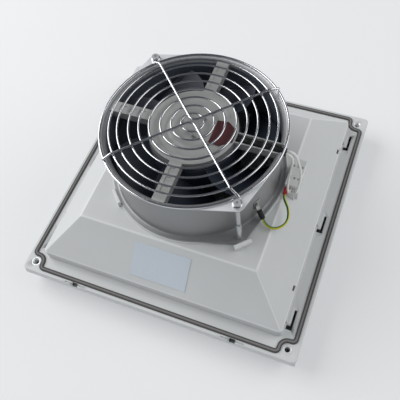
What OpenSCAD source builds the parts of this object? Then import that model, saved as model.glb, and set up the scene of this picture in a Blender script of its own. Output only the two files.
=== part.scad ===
// Filter fan for an equipment cabinet, lying on its louvred front with the fan on top.
// Millimetres. The origin is the middle of the square frame, on the floor.
// +X runs along the latch edge, +Y points at the hinge edge, +Z points into the cabinet.

/* [Frame] */
// Outer width of the square frame
frame_w = 255; // [250:1:275]
// How far the front stands out from the cabinet's panel
front_projection = 25; // [24:0.5:30]
// Radius of the frame's four outer corners
frame_corner_r = 4; // [2:0.5:8]
// Thickness of the frame's plate, which lies on the panel
plate_t = 3; // [2.4:0.2:4]
// Height of the frame's outer side
rim_h = 6; // [5:0.5:7]
// Thickness of the frame's outer rim
rim_t = 2.5; // [2:0.1:3]
// Distance from the frame's edge to the skirt that enters the panel's cut-out
frame_margin = 17; // [17:0.5:20]
// Height of the upright skirt above the frame
skirt_h = 11.5; // [10:0.5:16]
// Wall thickness of the moulded housing
wall = 2.5; // [2:0.1:3]
// Radius of the skirt's upright edges
skirt_corner_r = 4; // [3:0.5:8]

/* [Corner fixings] */
// Distance of each fixing hole from both edges of the frame
bush_inset = 9.5; // [9:0.1:10]
// Outer radius of the metal bush in each corner
bush_r = 4; // [3.5:0.1:4.4]
// Radius of the hole for the fixing screw
bush_bore_r = 2.25; // [1.6:0.05:2.6]
// Radius of the countersink at the bush's mouth
bush_sink_r = 3.3; // [2.8:0.1:3.4]
// Wall of the moulded boss around each bush
bush_boss_wall = 1.8; // [1.4:0.1:2]

/* [Gasket] */
// Distance of the gasket's middle line from the frame's edge
gasket_inset = 4.9; // [4.5:0.1:5.2]
// Width of the gasket
gasket_w = 3.8; // [3:0.1:4.2]
// Depth of the gasket's groove in the plate
groove_depth = 1.5; // [1:0.1:1.8]
// How far the gasket stands out of its groove
gasket_proud = 1.2; // [0.6:0.1:2]
// Radius of the gasket's middle line around each bush
gasket_bend_r = 6.9; // [6.7:0.1:7.2]
// Radius of the bend where the gasket turns in towards a bush
gasket_turn_r = 3; // [2.2:0.1:4]

/* [Louvred cover] */
// Thickness of the cover's walls
cover_wall = 2.2; // [1.6:0.1:2.6]
// How far the cover's bevel draws in towards its face
cover_bevel = 8; // [6:0.5:9]
// Height of the cover's upright edge above the bevel
cover_edge_h = 4.7; // [4:0.1:6]
// Width of the cover's closed border, from the frame's edge to the louvres
cover_border = 23.5; // [22:0.5:30]
// Distance between louvre slats
slat_pitch = 13; // [11:0.5:16]
// Depth of a slat's blade
slat_depth = 15; // [12:0.5:16]
// Thickness of a slat
slat_t = 1.6; // [1.2:0.1:2.2]
// Tilt of the slats from the cover's face, in degrees
slat_tilt = 45; // [35:1:55]
// Thickness of the ribs behind the slats
cover_rib_t = 1.6; // [1.2:0.1:2.4]
// Distance of the hinge axis from the frame's edge
hinge_inset = 3.5; // [3.2:0.1:3.6]
// Distance from the middle to each hinge
hinge_x = 80; // [50:1:95]
// Width of each hinge lug
hinge_lug_w = 6; // [4:0.5:10]
// Radius of the moulded pivot stubs
pivot_r = 1.5; // [1.2:0.1:1.6]
// Distance from the middle to each latch
latch_x = 73.7; // [40:0.1:95]
// Width of each latch tongue
latch_w = 4.8; // [4:0.1:8]

/* [Filter] */
// Thickness of the filter mat
mat_t = 11.6; // [9:0.2:12]
// Thickness of the support grid behind the mat
grid_t = 2.5; // [2:0.1:3]
// Distance between the grid's bars
grid_pitch = 24; // [18:1:26]
// Width of a grid bar
grid_bar = 2; // [1.6:0.1:3]
// Width of the grid's outer border
grid_border = 5; // [4:0.5:8]

/* [Panel catches] */
// Distance between the catches along each side
catch_pitch = 93.5; // [60:0.5:94]
// Length of the slot beside each catch
slot_l = 18; // [14:0.5:20]
// Width of the narrow part of the slot
slot_w = 1.4; // [1:0.1:1.8]
// Width of the slot's foot
slot_foot_w = 2.5; // [2:0.1:4]
// How far the catch stands out from the skirt
catch_reach = 2.2; // [1.5:0.1:2.6]
// Thickest panel that the catches hold
panel_t = 2.6; // [1.5:0.1:3]
// Distance from the middle to the small windows above the skirt
window_y = 71.5; // [60:0.5:90]

/* [Fan casing] */
// Depth of the fan
fan_depth = 55; // [54:0.5:62]
// Inner radius of the fan's wind tunnel
tunnel_r = 70.3; // [70:0.1:71.5]
// Thickness of the casing's sheet
casing_t = 1.2; // [1:0.1:1.5]
// Width of the casing's flanges
flange_w = 5.7; // [5.5:0.1:6.7]
// Radius of the casing's rounded mouth
mouth_r = 5; // [4.4:0.1:5.3]
// Distance from the flange's edge to the fan's fixing holes
ear_reach = 5; // [4.8:0.1:7]
// Radius of each ear's tip
ear_tip_r = 5.5; // [5:0.1:6]
// Radius of the holes in the ears
ear_hole_r = 2.25; // [2.15:0.05:2.6]
// Height of the raised seat under the fan
seat_h = 2; // [1.5:0.1:3]
// Flat left on the housing around the fan's flange
flat_margin = 3; // [2.5:0.1:5]

/* [Motor] */
// Radius of the spider's middle plate
plate_r = 36.5; // [36:0.1:40]
// Thickness of the spider's sheet
spider_t = 1.2; // [0.8:0.1:1.5]
// Width of a strut
strut_w = 10.4; // [9.8:0.1:12]
// Depth of a strut
strut_d = 7.4; // [7.2:0.1:7.8]
// Depth of the plate's presses
press_d = 0.8; // [0.4:0.1:1.2]
// Outer radius of the rotor's steel cup
cup_r = 36; // [35.6:0.1:36]
// Wall of the rotor's steel cup
cup_t = 2; // [1.6:0.1:2.2]
// Radius of the motor's shaft
shaft_r = 3; // [2.6:0.1:3]
// Outer radius of the ball bearings
bearing_r = 9.5; // [9.4:0.1:10]
// Width of a ball bearing
bearing_w = 6; // [5:0.5:7]
// Radius of a bearing's balls
ball_r = 1.75; // [1.5:0.05:1.8]
// Balls in each bearing
ball_count = 7; // [5:1:8]
// Wall of the tube that holds the bearings
tube_wall = 2.5; // [2.2:0.1:3]
// Radius of the three rivets that hold the plate to the bearing tube
plate_rivet_r = 0.8; // [0.6:0.05:0.9]
// Outer radius of the stator
stator_r = 29; // [27:0.5:29.5]
// Height of the stator's stack
stator_h = 18; // [14:0.5:18.5]
// Radial air gap of the motor
air_gap = 0.5; // [0.3:0.1:0.8]

/* [Impeller] */
// Number of blades
blade_count = 7; // [5:1:9]
// Height of the blades along the shaft
blade_h = 34; // [26:1:36]
// Thickness of a blade
blade_t = 1.2; // [1:0.1:1.6]
// Gap between the blades' tips and the wind tunnel
tip_gap = 1.8; // [1.2:0.1:3]
// Turn of a blade from its lower to its upper edge, in degrees
blade_turn = 55; // [30:1:60]
// Wall of the impeller's hub ring
impeller_ring_t = 1.4; // [1:0.1:1.8]

/* [Finger guard] */
// Radius of the guard's ring wire
ring_wire_r = 0.9; // [0.7:0.05:1.1]
// Radius of the outermost ring's wire
rim_wire_r = 1; // [0.8:0.05:1.2]
// Radius of the spoke wire
spoke_wire_r = 1.05; // [0.9:0.05:1.2]
// Height of the rings' middle above the fan's mouth
guard_h = 4; // [3.8:0.1:6]
// Distance between the bends of the two spokes
spoke_gap = 3.4; // [2.8:0.1:5]
// Radius of the guard screws
guard_screw_r = 1.75; // [1.5:0.05:2]
// Radius of the guard screws' heads
guard_screw_head_r = 3; // [2.6:0.1:3.1]
// Height of the guard screws' heads
guard_screw_head_h = 1.6; // [1.2:0.1:2]
// Outer radius of the threaded sleeves that stand on the lower ears
sleeve_r = 2.6; // [2.4:0.1:3]
// Height of the threaded sleeves
sleeve_h = 24; // [12:0.5:30]

/* [Terminals] */
// Length of the terminal block
block_l = 27; // [24:1:30]
// Width of the terminal block
block_w = 11.2; // [10.8:0.1:12]
// Height of the terminal block
block_h = 11; // [9.5:0.5:13]
// Distance between the block's poles
pole_pitch = 3.6; // [3.5:0.1:3.8]
// Radius of the white leads
lead_r = 0.9; // [0.7:0.05:1]
// Radius of the earth wire
earth_r = 1.1; // [0.9:0.05:1.2]
// Radius of the black sleeve on the motor's lead
lead_sleeve_r = 3.1; // [2.6:0.1:3.1]

/* [Label] */
// Length of the rating plate
label_l = 50.5; // [40:0.5:70]
// Height of the rating plate
label_h = 30.3; // [20:0.1:36]
// Thickness of the rating plate
label_t = 0.4; // [0.2:0.1:0.8]
// Distance of the rating plate from the slope's upper edge
label_drop = 7.5; // [3:0.1:8]

/* [Hidden] */
$fn = 48;

// Overrun of every cut past the face that it opens
cut = 1;
// Gap between pieces that are pressed or slipped together
slip = 0.02;
// Gap between a turning or swinging piece and its seat
running = 0.05;
// Gap between parts that are clipped loosely
loose = 0.3;
// Gap between sheet pieces
sheet_gap = 0.1;

// Levels and half widths of the housing
frame_half = frame_w / 2;
back_z = front_projection;
plate_z = back_z - plate_t;
rim_z = back_z - rim_h;
skirt_half = frame_half - frame_margin;
flange_r = tunnel_r + flange_w;
ear_hole_circle_r = flange_r + ear_reach;
flat_half = flange_r + flat_margin;
knee_z = back_z + skirt_h;
flat_z = knee_z + skirt_half - flat_half;
inner_half = skirt_half - wall;
inner_knee_z = knee_z - wall * (sqrt(2) - 1);
inner_flat_z = flat_z - wall;
bush_place = frame_half - bush_inset;
bush_boss_r = bush_r + bush_boss_wall;
gasket_half = frame_half - gasket_inset;
slope_sum = knee_z + skirt_half;

// Levels of the filter
grid_top_z = inner_knee_z;
grid_z = grid_top_z - grid_t;
mat_z = grid_z - mat_t;

// Levels and places of the cover and its hinge
cover_top_z = rim_z - loose;
cover_inset = 0.5;
cover_half = frame_half - cover_inset;
cover_face_half = cover_half - cover_bevel;
louvre_half = frame_half - cover_border;
hinge_y = frame_half - hinge_inset;
hinge_edge_r = hinge_inset - sheet_gap;
hinge_drop = 1;
hinge_z = cover_top_z - hinge_edge_r - hinge_drop;
hinge_lug_r = 2.6;
hinge_rail_w = 9;
pocket_deep = 4;
latch_depth = 2;
latch_rise = 4.2;
slit_l = 20;
slit_w = 0.8;
rib_spacing = 52;

// Levels of the fan
seat_z = flat_z + seat_h;
mouth_z = seat_z + fan_depth;
casing_r = tunnel_r + casing_t;
ear_flange_t = 1.5;
ear_angle = -45;
opening_gap = 0.7;
opening_r = tunnel_r + opening_gap;
seat_margin = 1;
seat_r = flange_r + seat_margin;
lower_fillet_r = 2;
mouth_steps = 6;

// Levels of the spider and the motor
spider_drop = 0.6;
spider_top_z = mouth_z - spider_drop;
strut_z = spider_top_z - strut_d;
plate_skirt_drop = 0.5;
plate_skirt_z = strut_z - plate_skirt_drop;
blade_gap = 1.1;
blade_top_z = plate_skirt_z - blade_gap;
blade_z = blade_top_z - blade_h;
cup_top_z = blade_top_z;
cup_z = blade_z;
cup_floor_z = cup_z + cup_t;
cup_boss_h = 2.6;
cup_boss_r = 7;
lower_bearing_z = cup_floor_z + cup_boss_h + sheet_gap;
bearing_depth = 4;
upper_bearing_z = spider_top_z - spider_t - bearing_w - bearing_depth;
tube_r = bearing_r + tube_wall;
tube_z = lower_bearing_z;
tube_top_z = spider_top_z - spider_t;
circlip_t = 0.8;
circlip_r = 4.4;
groove_d = 0.4;
groove_r = shaft_r - groove_d;
circlip_z = upper_bearing_z + bearing_w + sheet_gap;
shaft_end = 1;
shaft_top_z = circlip_z + circlip_t + shaft_end;
ball_circle_r = (shaft_r + bearing_r) / 2;
ball_slot = 1;
inner_ring_r = ball_circle_r - ball_slot;
outer_ring_r = ball_circle_r + ball_slot;
rotor_ring_r = stator_r + air_gap;
stator_rise = 5.5;
stator_z = cup_floor_z + stator_rise;
winding_gap = 0.2;
winding_h = 4.6;
winding_inset = 3;
winding_r = stator_r - winding_inset;
core_wall = 1.5;
winding_hole_r = tube_r + core_wall;
stator_slots = 12;
stator_slot_w = 2.4;

// Radii of the plate's pressed rings, as shares of the plate's radius
press_shares = [0.14, 0.2, 0.52, 0.58, 0.77, 0.83];
// Recesses pressed into a strut: their middles as shares of the strut's length
recess_shares = [0.25, 0.5, 0.75];
recess_l = 6;
recess_w = 4.4;
recess_d = 0.5;
plate_rivet_head_r = 1.6;
plate_rivet_head_h = 0.7;
plate_rivet_l = 3;
plate_rivet_angle = -66;
plate_rivet_circle = tube_r - tube_wall / 2;

// Blades
impeller_ring_r = cup_r + slip;
blade_root_r = impeller_ring_r + impeller_ring_t / 2;
blade_tip_r = tunnel_r - tip_gap;
blade_steps = 5;
blade_slices = 7;
ring_sides = 12 * blade_count;
blade_inset = 0.8;
blade_sweep = 14;

// Finger guard
guard_inset = 0.6;
guard_rim_r = flange_r - guard_inset;
rim_wire_z = mouth_z + rim_wire_r;
ring_wire_z = mouth_z + guard_h;
spoke_wire_z = ring_wire_z + ring_wire_r + spoke_wire_r;
// Radii of the rings, as shares of the outermost ring's radius
guard_ring_shares = [0.119, 0.228, 0.342, 0.463, 0.573, 0.682, 0.801, 0.892];
guard_last_ring_r = guard_rim_r * guard_ring_shares[7];
eye_wire_z = mouth_z + spoke_wire_r;
eye_gap = 0.35;
eye_r = guard_screw_r + eye_gap + spoke_wire_r;
screw_head_z = mouth_z + 2 * spoke_wire_r;
sleeve_z = seat_z + ear_flange_t;
screw_grip = 12;
screw_tip_z = sleeve_z + sleeve_h - screw_grip;
spoke_bend_r = 5;
spoke_bend_steps = 4;
hex_r = 1.3;
hex_d = 1;

// Fan clips on the housing
clip_l = 15;
clip_t = 2.5;
clip_nose = 1.5;
clip_h = 4;
clip_gap = 0.3;

// Terminal block, its post and what goes into it
block_gap = 2.4;
block_x = flange_r + block_gap;
block_y = -3;
block_z = seat_z;
post_inset = 2;
post_stop_w = 6;
post_stop_t = 1.2;
post_stop_h = 2.5;
entry_h = 6;
entry_z = block_z + entry_h;
entry_r = 1.5;
pole_inset = 2;
pole_x = block_x + pole_inset;
clamp_w = 2.6;
clamp_h = 3;
clamp_end = 4;
clamp_z = entry_z - clamp_h / 2;
terminal_screw_r = 1.1;
terminal_screw_h = 2.4;
terminal_screw_y = 6;
screw_slot_w = 0.5;
screw_slot_d = 0.6;

// Black sleeve on the motor's lead
lead_sleeve_x = plate_r + loose;
lead_sleeve_past = 1;
lead_sleeve_end_x = flange_r + lead_sleeve_past;
lead_z = strut_z + spider_t + 2 * sheet_gap + lead_sleeve_r;
lead_notch_gap = 0.4;
lead_notch_w = 2 * (lead_sleeve_r + lead_notch_gap);
lead_hole_r = 2.2;

// Earth wire's ferrule, sleeve, tab and rivet
ferrule_r = 1.7;
ferrule_l = 7;
ferrule_tip_r = 0.9;
earth_sleeve_r = 2.2;
earth_sleeve_l = 8;
earth_tilt = 30;
earth_angle = -27.2;
earth_out = 7.2;
earth_up = 5;
earth_radius = casing_r + earth_out;
earth_z = seat_z + earth_up;
tab_t = 0.8;
tab_w = 3.2;
tab_insert = 4;
tab_reach = 5.2;
tab_foot_w = 6;
tab_foot_h = 9;
rivet_r = 1;
rivet_head_r = 1.8;
rivet_head_t = 1;

// Insulating paper on the plate: reach along X and half widths
paper_t = 0.3;
paper_start = 17;
paper_middle = 26;
paper_end = 35;
paper_start_half = 11;
paper_middle_half = 12;
paper_end_half = 6;

// Routes of the wires, in round numbers
outer_route = [
    [77, 1.4, 121.5], [80, 1.5, 121.3], [83, 1.5, 119.6], [84.8, 1.5, 116.5], [86.4, 1.5, 111.5],
    [88, 1.3, 105.5], [89.4, 0.6, 99.5], [90.2, -0.8, 93.5], [90.3, -3.6, 88], [89.9, -6.6, 83.8],
    [89.2, -7.8, 80.4], [88.4, -6.6, 77.6], [87.8, -4, 76.2], [87.6, -1.4, 76], [87.6, 1, 76]
];
inner_route = [
    [77, -1.4, 121.5], [79.4, -1.5, 121.1], [81.4, -1.5, 119.5], [82.5, -1.5, 116.6], [82.6, -1.2, 111.5],
    [82.2, -0.8, 105.5], [81.8, -1, 99.5], [81.5, -2.6, 93.8], [81.6, -5.6, 88.4], [82.1, -7.9, 83.8],
    [82.8, -8.4, 80.4], [83.5, -6.8, 77.6], [83.9, -4, 76.2], [84, -1.4, 76], [84, 1, 76]
];
earth_route = [
    [80.4, -10, 76], [81.3, -13.4, 75.6], [83.6, -16.4, 74.6], [86.2, -19.6, 73], [88, -23.4, 71.4],
    [88.9, -28, 70.3], [88.3, -32.4, 70.1], [86.2, -36.4, 70.5], [82.9, -39.4, 70.9], [78.4, -40.6, 71.1],
    [74.4, -39.3, 71.4], [71.6, -37.4, 72.4], [70, -35.97, 75]
];
wire_sides = 8;
wire_steps = 2;

// Points along an arc
function arc(cx, cy, r, from, to, steps) = [
    for (i = [0:steps]) let (a = from + (to - from) * i / steps) [cx + r * cos(a), cy + r * sin(a)]
];

// A point turned about the origin
function turned(p, a) = [p[0] * cos(a) - p[1] * sin(a), p[0] * sin(a) + p[1] * cos(a)];

// Side view of an upright wall with a 45-degree slope and a flat top above it
function roof(half, low, knee, top) = [
    [-half, low], [half, low], [half, knee], [half - (top - knee), top],
    [-half + (top - knee), top], [-half, knee]
];

// Outline of the gasket, shifted sideways from its middle line
function gasket_outline(shift) = [
    for (k = [0:3]) for (p = concat(
        arc(gasket_half - gasket_turn_r, bush_place - gasket_bend_r - gasket_turn_r,
            gasket_turn_r + shift, 0, 90, 4),
        arc(bush_place, bush_place, gasket_bend_r - shift, 270, 180, 8),
        arc(bush_place - gasket_bend_r - gasket_turn_r, gasket_half - gasket_turn_r,
            gasket_turn_r + shift, 0, 90, 4)
    )) turned(p, 90 * k)
];

// Length-one copy of a vector
function unit(v) = v / norm(v);

// Catmull-Rom point between b and c
function curve_point(a, b, c, d, t) = (
    2 * b + (c - a) * t + (2 * a - 5 * b + 4 * c - d) * t * t + (3 * b - a - 3 * c + d) * t * t * t
) / 2;

// Smooth path through the points of a route
function smooth(route, steps) = [
    for (i = [0:len(route) - 2]) for (k = [0:steps - 1]) curve_point(
        route[max(i - 1, 0)], route[i], route[i + 1], route[min(i + 2, len(route) - 1)], k / steps),
    route[len(route) - 1]
];

// Direction of a path at one of its points
function heading(path, i) = unit(path[min(i + 1, len(path) - 1)] - path[max(i - 1, 0)]);

// Normals carried along a path's directions without twist
function carried(along, normals) = len(normals) == len(along) ? normals : let (
    h = along[len(normals)], n = normals[len(normals) - 1]
) carried(along, concat(normals, [unit(n - (n * h) * h)]));

// Tube of a given radius swept along a path, with its ends square to the two given directions
module swept(path, r, sides, side_hint, start_along, end_along) {
    last = len(path) - 1;
    along = [for (i = [0:last]) i == 0 ? unit(start_along) : i == last ? unit(end_along) : heading(path, i)];
    normals = carried(along, [unit(side_hint - (side_hint * along[0]) * along[0])]);
    points = [
        for (i = [0:last]) let (n = normals[i], b = cross(along[i], n))
            for (k = [0:sides - 1]) path[i] + r * (n * cos(360 * k / sides) + b * sin(360 * k / sides))
    ];
    sides_of_tube = [
        for (i = [0:last - 1]) for (k = [0:sides - 1]) let (m = (k + 1) % sides)
            each [
                [i * sides + k, (i + 1) * sides + k, (i + 1) * sides + m],
                [i * sides + k, (i + 1) * sides + m, i * sides + m]
            ]
    ];
    start_cap = [for (k = [1:sides - 2]) [0, k, k + 1]];
    end_cap = [for (k = [1:sides - 2]) [last * sides, last * sides + k + 1, last * sides + k]];
    polyhedron(points, concat(sides_of_tube, start_cap, end_cap), convexity = 8);
}

// Solid whose side views along X and along Y are both the given outlines
module square_solid(outline_x, outline_y) {
    intersection() {
        rotate([90, 0, 0]) linear_extrude(frame_w + cut, center = true) polygon(outline_x);
        rotate([90, 0, 90]) linear_extrude(frame_w + cut, center = true) polygon(outline_y);
    }
}

// Square with rounded corners
module rounded_square(half, r) {
    square([2 * half, 2 * (half - r)], center = true);
    square([2 * (half - r), 2 * half], center = true);
    for (x = [-1, 1], y = [-1, 1]) translate([x * (half - r), y * (half - r)]) circle(r);
}

module rounded_plate(half, r, low, high) {
    translate([0, 0, low]) linear_extrude(high - low) rounded_square(half, r);
}

// Upright cylinder between two levels
module post(r, low, high) {
    translate([0, 0, low]) cylinder(h = high - low, r = r);
}

module tube(outer, inner, low, high) {
    difference() {
        post(outer, low, high);
        post(inner, low - cut, high + cut);
    }
}

// Copies at the four corner fixings
module at_bushes() {
    for (x = [-1, 1], y = [-1, 1]) translate([x * bush_place, y * bush_place, 0]) children();
}

// Copies at the two ears of the fan
module at_ears(r) {
    for (a = [ear_angle, ear_angle + 180]) rotate([0, 0, a]) translate([r, 0, 0]) children();
}

// Frame's plate with its rim and the bosses round the corner bushes
module frame_body() {
    rounded_plate(frame_half, frame_corner_r, plate_z, back_z);
    difference() {
        rounded_plate(frame_half, frame_corner_r, rim_z, back_z);
        rounded_plate(frame_half - rim_t, frame_corner_r - rim_t + cut, rim_z - cut, plate_z);
    }
    at_bushes() post(bush_boss_r, rim_z, back_z);
    for (x = [-hinge_x, hinge_x]) translate([x, hinge_y, 0]) hinge_lug();
}

module hinge_lug() {
    translate([-hinge_lug_w / 2, -hinge_lug_r, hinge_z]) cube([hinge_lug_w, 2 * hinge_lug_r, plate_z - hinge_z]);
    translate([-hinge_lug_w / 2, 0, hinge_z]) rotate([0, 90, 0]) cylinder(h = hinge_lug_w, r = hinge_lug_r);
}

module funnel(half, corner, low, knee, top) {
    intersection() {
        square_solid(roof(half, low, knee, top), roof(half, low, knee, top));
        rounded_plate(half, corner, low, top);
    }
}

// Raised seat under the fan's flange and ears
module fan_seat() {
    post(seat_r, inner_flat_z, seat_z);
    at_ears(ear_hole_circle_r) post(ear_tip_r + seat_margin, inner_flat_z, seat_z);
}

// Hook that snaps over the fan's sheet, with its wall at radius r
module fan_clip(r) {
    nose_z = seat_z + ear_flange_t + sheet_gap;
    translate([r, -clip_l / 2, inner_flat_z]) cube([clip_t, clip_l, seat_z + clip_h - inner_flat_z]);
    translate([0, clip_l / 2, 0]) rotate([90, 0, 0]) linear_extrude(clip_l) polygon([
        [r, nose_z], [r, seat_z + clip_h], [r - clip_nose, nose_z]
    ]);
}

module fan_clips() {
    for (a = [ear_angle, ear_angle + 180]) {
        rotate([0, 0, a]) fan_clip(ear_hole_circle_r + ear_tip_r + clip_gap);
        rotate([0, 0, a + 90]) fan_clip(flange_r + clip_gap);
    }
}

// Catch on the skirt that snaps behind the panel's cut-out
module panel_catch() {
    low = back_z + panel_t;
    translate([0, slot_l / 2, 0]) rotate([90, 0, 0]) linear_extrude(slot_l - 2 * slot_foot_w) polygon([
        [skirt_half - wall / 2, low], [skirt_half + catch_reach, low],
        [skirt_half, knee_z - wall], [skirt_half - wall / 2, knee_z - wall]
    ]);
}

// Slot beside a catch, with a foot at one end
module catch_slot() {
    outer_x = skirt_half + wall + catch_reach + slot_w;
    translate([outer_x - slot_w, -slot_l / 2, rim_z]) cube([slot_w, slot_l, back_z + cut - rim_z]);
    translate([skirt_half + slot_w, -slot_l / 2, rim_z])
        cube([outer_x - skirt_half - slot_w, slot_foot_w, back_z + cut - rim_z]);
}

module at_catches() {
    for (side = [0, 1], k = [-1:1]) mirror([side, 0, 0]) translate([0, k * catch_pitch, 0]) children();
}

// Moulded post that carries the terminal block above the slope
module terminal_post() {
    low = slope_sum - block_x - block_w - wall;
    translate([block_x + sheet_gap, block_y + post_inset, low])
        cube([block_w - 2 * sheet_gap, block_l - 2 * post_inset, block_z - low]);
    for (y = [block_y - post_stop_t - sheet_gap, block_y + block_l + sheet_gap])
        translate([block_x + (block_w - post_stop_w) / 2, y, low])
            cube([post_stop_w, post_stop_t, block_z + post_stop_h - low]);
    translate([block_x + (block_w - post_stop_w) / 2, block_y - sheet_gap - cut / 2, low])
        cube([post_stop_w, block_l + 2 * sheet_gap + cut, block_z - low]);
}

module housing() color("gainsboro") difference() {
    union() {
        frame_body();
        funnel(skirt_half, skirt_corner_r, rim_z, knee_z, flat_z);
        fan_seat();
        fan_clips();
        terminal_post();
        at_catches() panel_catch();
    }
    funnel(inner_half, skirt_corner_r - wall, rim_z - cut, inner_knee_z, inner_flat_z);
    post(opening_r, inner_flat_z - cut, seat_z + cut);
    translate([0, 0, back_z - groove_depth]) linear_extrude(groove_depth + cut) difference() {
        polygon(gasket_outline(gasket_w / 2));
        polygon(gasket_outline(-gasket_w / 2));
    }
    at_bushes() post(bush_r + slip, rim_z - cut, back_z + cut);
    at_ears(ear_hole_circle_r) post(ear_hole_r, inner_flat_z - cut, seat_z + cut);
    at_catches() catch_slot();
    for (x = [-1, 1], y = [-window_y, window_y]) translate([x * (skirt_half - wall), y, knee_z + wall / 2])
        cube([4 * wall, 2 * wall, wall], center = true);
    for (x = [-latch_x, latch_x]) translate([x, 0, 0]) latch_notch();
    for (x = [-hinge_x, hinge_x]) translate([x - hinge_lug_w, hinge_y, hinge_z])
        rotate([0, 90, 0]) cylinder(h = 2 * hinge_lug_w, r = pivot_r + running);
}

// Notch for a latch tongue, and the slit that lets the rim flex
module latch_notch() {
    inner_y = cover_half - latch_depth - loose;
    half = latch_w / 2 + loose;
    translate([-half, -frame_half - cut, rim_z - cut]) cube([2 * half, frame_half + cut - inner_y, rim_h + 2 * cut]);
    translate([-slit_l / 2, -frame_half + (rim_t - slit_w) / 2, back_z - groove_depth])
        cube([slit_l, slit_w, groove_depth + cut]);
}

module frame_gasket() color("dimgray") translate([0, 0, back_z - groove_depth])
    linear_extrude(groove_depth + gasket_proud) difference() {
        polygon(gasket_outline(gasket_w / 2 - slip));
        polygon(gasket_outline(slip - gasket_w / 2));
    }

module corner_bushes() color("silver") at_bushes() difference() {
    post(bush_r, rim_z, back_z);
    post(bush_bore_r, rim_z - cut, back_z + cut);
    translate([0, 0, back_z - (bush_sink_r - bush_bore_r)])
        cylinder(h = bush_sink_r - bush_bore_r, r1 = bush_bore_r, r2 = bush_sink_r);
}

function cover_bevel_z() = cover_top_z - cover_edge_h;

// Outlines of the cover seen along Y and along X
function cover_outline_x() = [
    [-cover_face_half, 0], [cover_face_half, 0], [cover_half, cover_bevel_z()], [cover_half, cover_top_z],
    [-cover_half, cover_top_z], [-cover_half, cover_bevel_z()]
];
function cover_outline_y() = concat(
    [[-cover_face_half, 0], [cover_face_half, 0]],
    arc(hinge_y, hinge_z, hinge_edge_r, -35, 100, 9),
    [
        [hinge_y - (cover_top_z - hinge_z), cover_top_z], [-cover_half, cover_top_z],
        [-cover_half, cover_bevel_z()]
    ]
);
function cover_hollow_x() = [
    [cover_wall - cover_face_half, cover_wall], [cover_face_half - cover_wall, cover_wall],
    [cover_half - cover_wall, cover_bevel_z()], [cover_half - cover_wall, cover_top_z + cut],
    [cover_wall - cover_half, cover_top_z + cut], [cover_wall - cover_half, cover_bevel_z()]
];
function cover_hollow_y() = [
    [cover_wall - cover_face_half, cover_wall], [hinge_y - hinge_rail_w, cover_wall],
    [hinge_y - hinge_rail_w, cover_top_z + cut], [cover_wall - cover_half, cover_top_z + cut],
    [cover_wall - cover_half, cover_bevel_z()]
];

// Room round a hinge lug, and the pivot stub across it
module hinge_pocket() {
    translate([-hinge_lug_w / 2 - loose, -hinge_rail_w + cover_rib_t, -pocket_deep])
        cube([hinge_lug_w + 2 * loose, hinge_rail_w + hinge_inset, hinge_z + 2 * cut]);
}

module hinge_stub() {
    translate([-hinge_lug_w / 2 - 2 * loose, 0, 0]) rotate([0, 90, 0])
        cylinder(h = hinge_lug_w + 4 * loose, r = pivot_r);
}

module louvre_cover() color("whitesmoke") {
    collar_top = cover_bevel_z();
    slats = floor(2 * louvre_half / slat_pitch);
    difference() {
        square_solid(cover_outline_x(), cover_outline_y());
        difference() {
            square_solid(cover_hollow_x(), cover_hollow_y());
            translate([0, 0, collar_top / 2])
                cube([2 * (louvre_half + cover_wall), 2 * (louvre_half + cover_wall), collar_top], center = true);
        }
        translate([-louvre_half, -louvre_half, -cut]) cube([2 * louvre_half, 2 * louvre_half, cover_top_z + 2 * cut]);
        for (x = [-hinge_x, hinge_x]) translate([x, hinge_y, hinge_z]) hinge_pocket();
    }
    for (k = [0:slats - 1]) translate([0, (k - (slats - 1) / 2) * slat_pitch, collar_top / 2])
        rotate([slat_tilt, 0, 0]) cube([2 * louvre_half + cover_wall, slat_t, slat_depth], center = true);
    for (x = [-rib_spacing, 0, rib_spacing]) translate([x - cover_rib_t / 2, -louvre_half - cover_wall / 2, cover_wall])
        cube([cover_rib_t, 2 * louvre_half + cover_wall, mat_z - loose - cover_wall]);
    for (x = [-latch_x, latch_x]) translate([x - latch_w / 2, -cover_half, cover_top_z - cut])
        cube([latch_w, latch_depth, latch_rise + cut]);
    for (x = [-hinge_x, hinge_x]) translate([x, hinge_y, hinge_z]) hinge_stub();
}

module filter_mat() color("ghostwhite") rounded_plate(inner_half - loose, skirt_corner_r - wall + loose, mat_z, grid_z);

module mat_grid() color("lightgray") {
    half = inner_half - loose;
    bars = floor((half - grid_border) / grid_pitch);
    difference() {
        rounded_plate(half, skirt_corner_r - wall + loose, grid_z, grid_top_z);
        rounded_plate(half - grid_border, grid_bar, grid_z - cut, grid_top_z + cut);
    }
    for (k = [-bars:bars], turn = [0, 90]) rotate([0, 0, turn])
        translate([k * grid_pitch - grid_bar / 2, grid_border / 2 - half, grid_z])
            cube([grid_bar, 2 * half - grid_border, grid_t]);
}

module rating_plate() color("aliceblue") translate([0, -flat_half, flat_z]) rotate([45, 0, 0])
    translate([-label_l / 2, -label_drop - label_h, 0]) cube([label_l, label_h, label_t]);

// Plan of the fan's flange with its two ears
module ear_plan() {
    tangent = acos((flange_r - ear_tip_r) / ear_hole_circle_r);
    circle(flange_r);
    for (a = [ear_angle, ear_angle + 180]) rotate([0, 0, a]) {
        translate([ear_hole_circle_r, 0]) circle(ear_tip_r);
        polygon([
            [flange_r * cos(tangent), flange_r * sin(tangent)],
            [flange_r * cos(tangent), -flange_r * sin(tangent)],
            [ear_hole_circle_r + ear_tip_r * cos(tangent), -ear_tip_r * sin(tangent)],
            [ear_hole_circle_r + ear_tip_r * cos(tangent), ear_tip_r * sin(tangent)]
        ]);
    }
}

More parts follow.
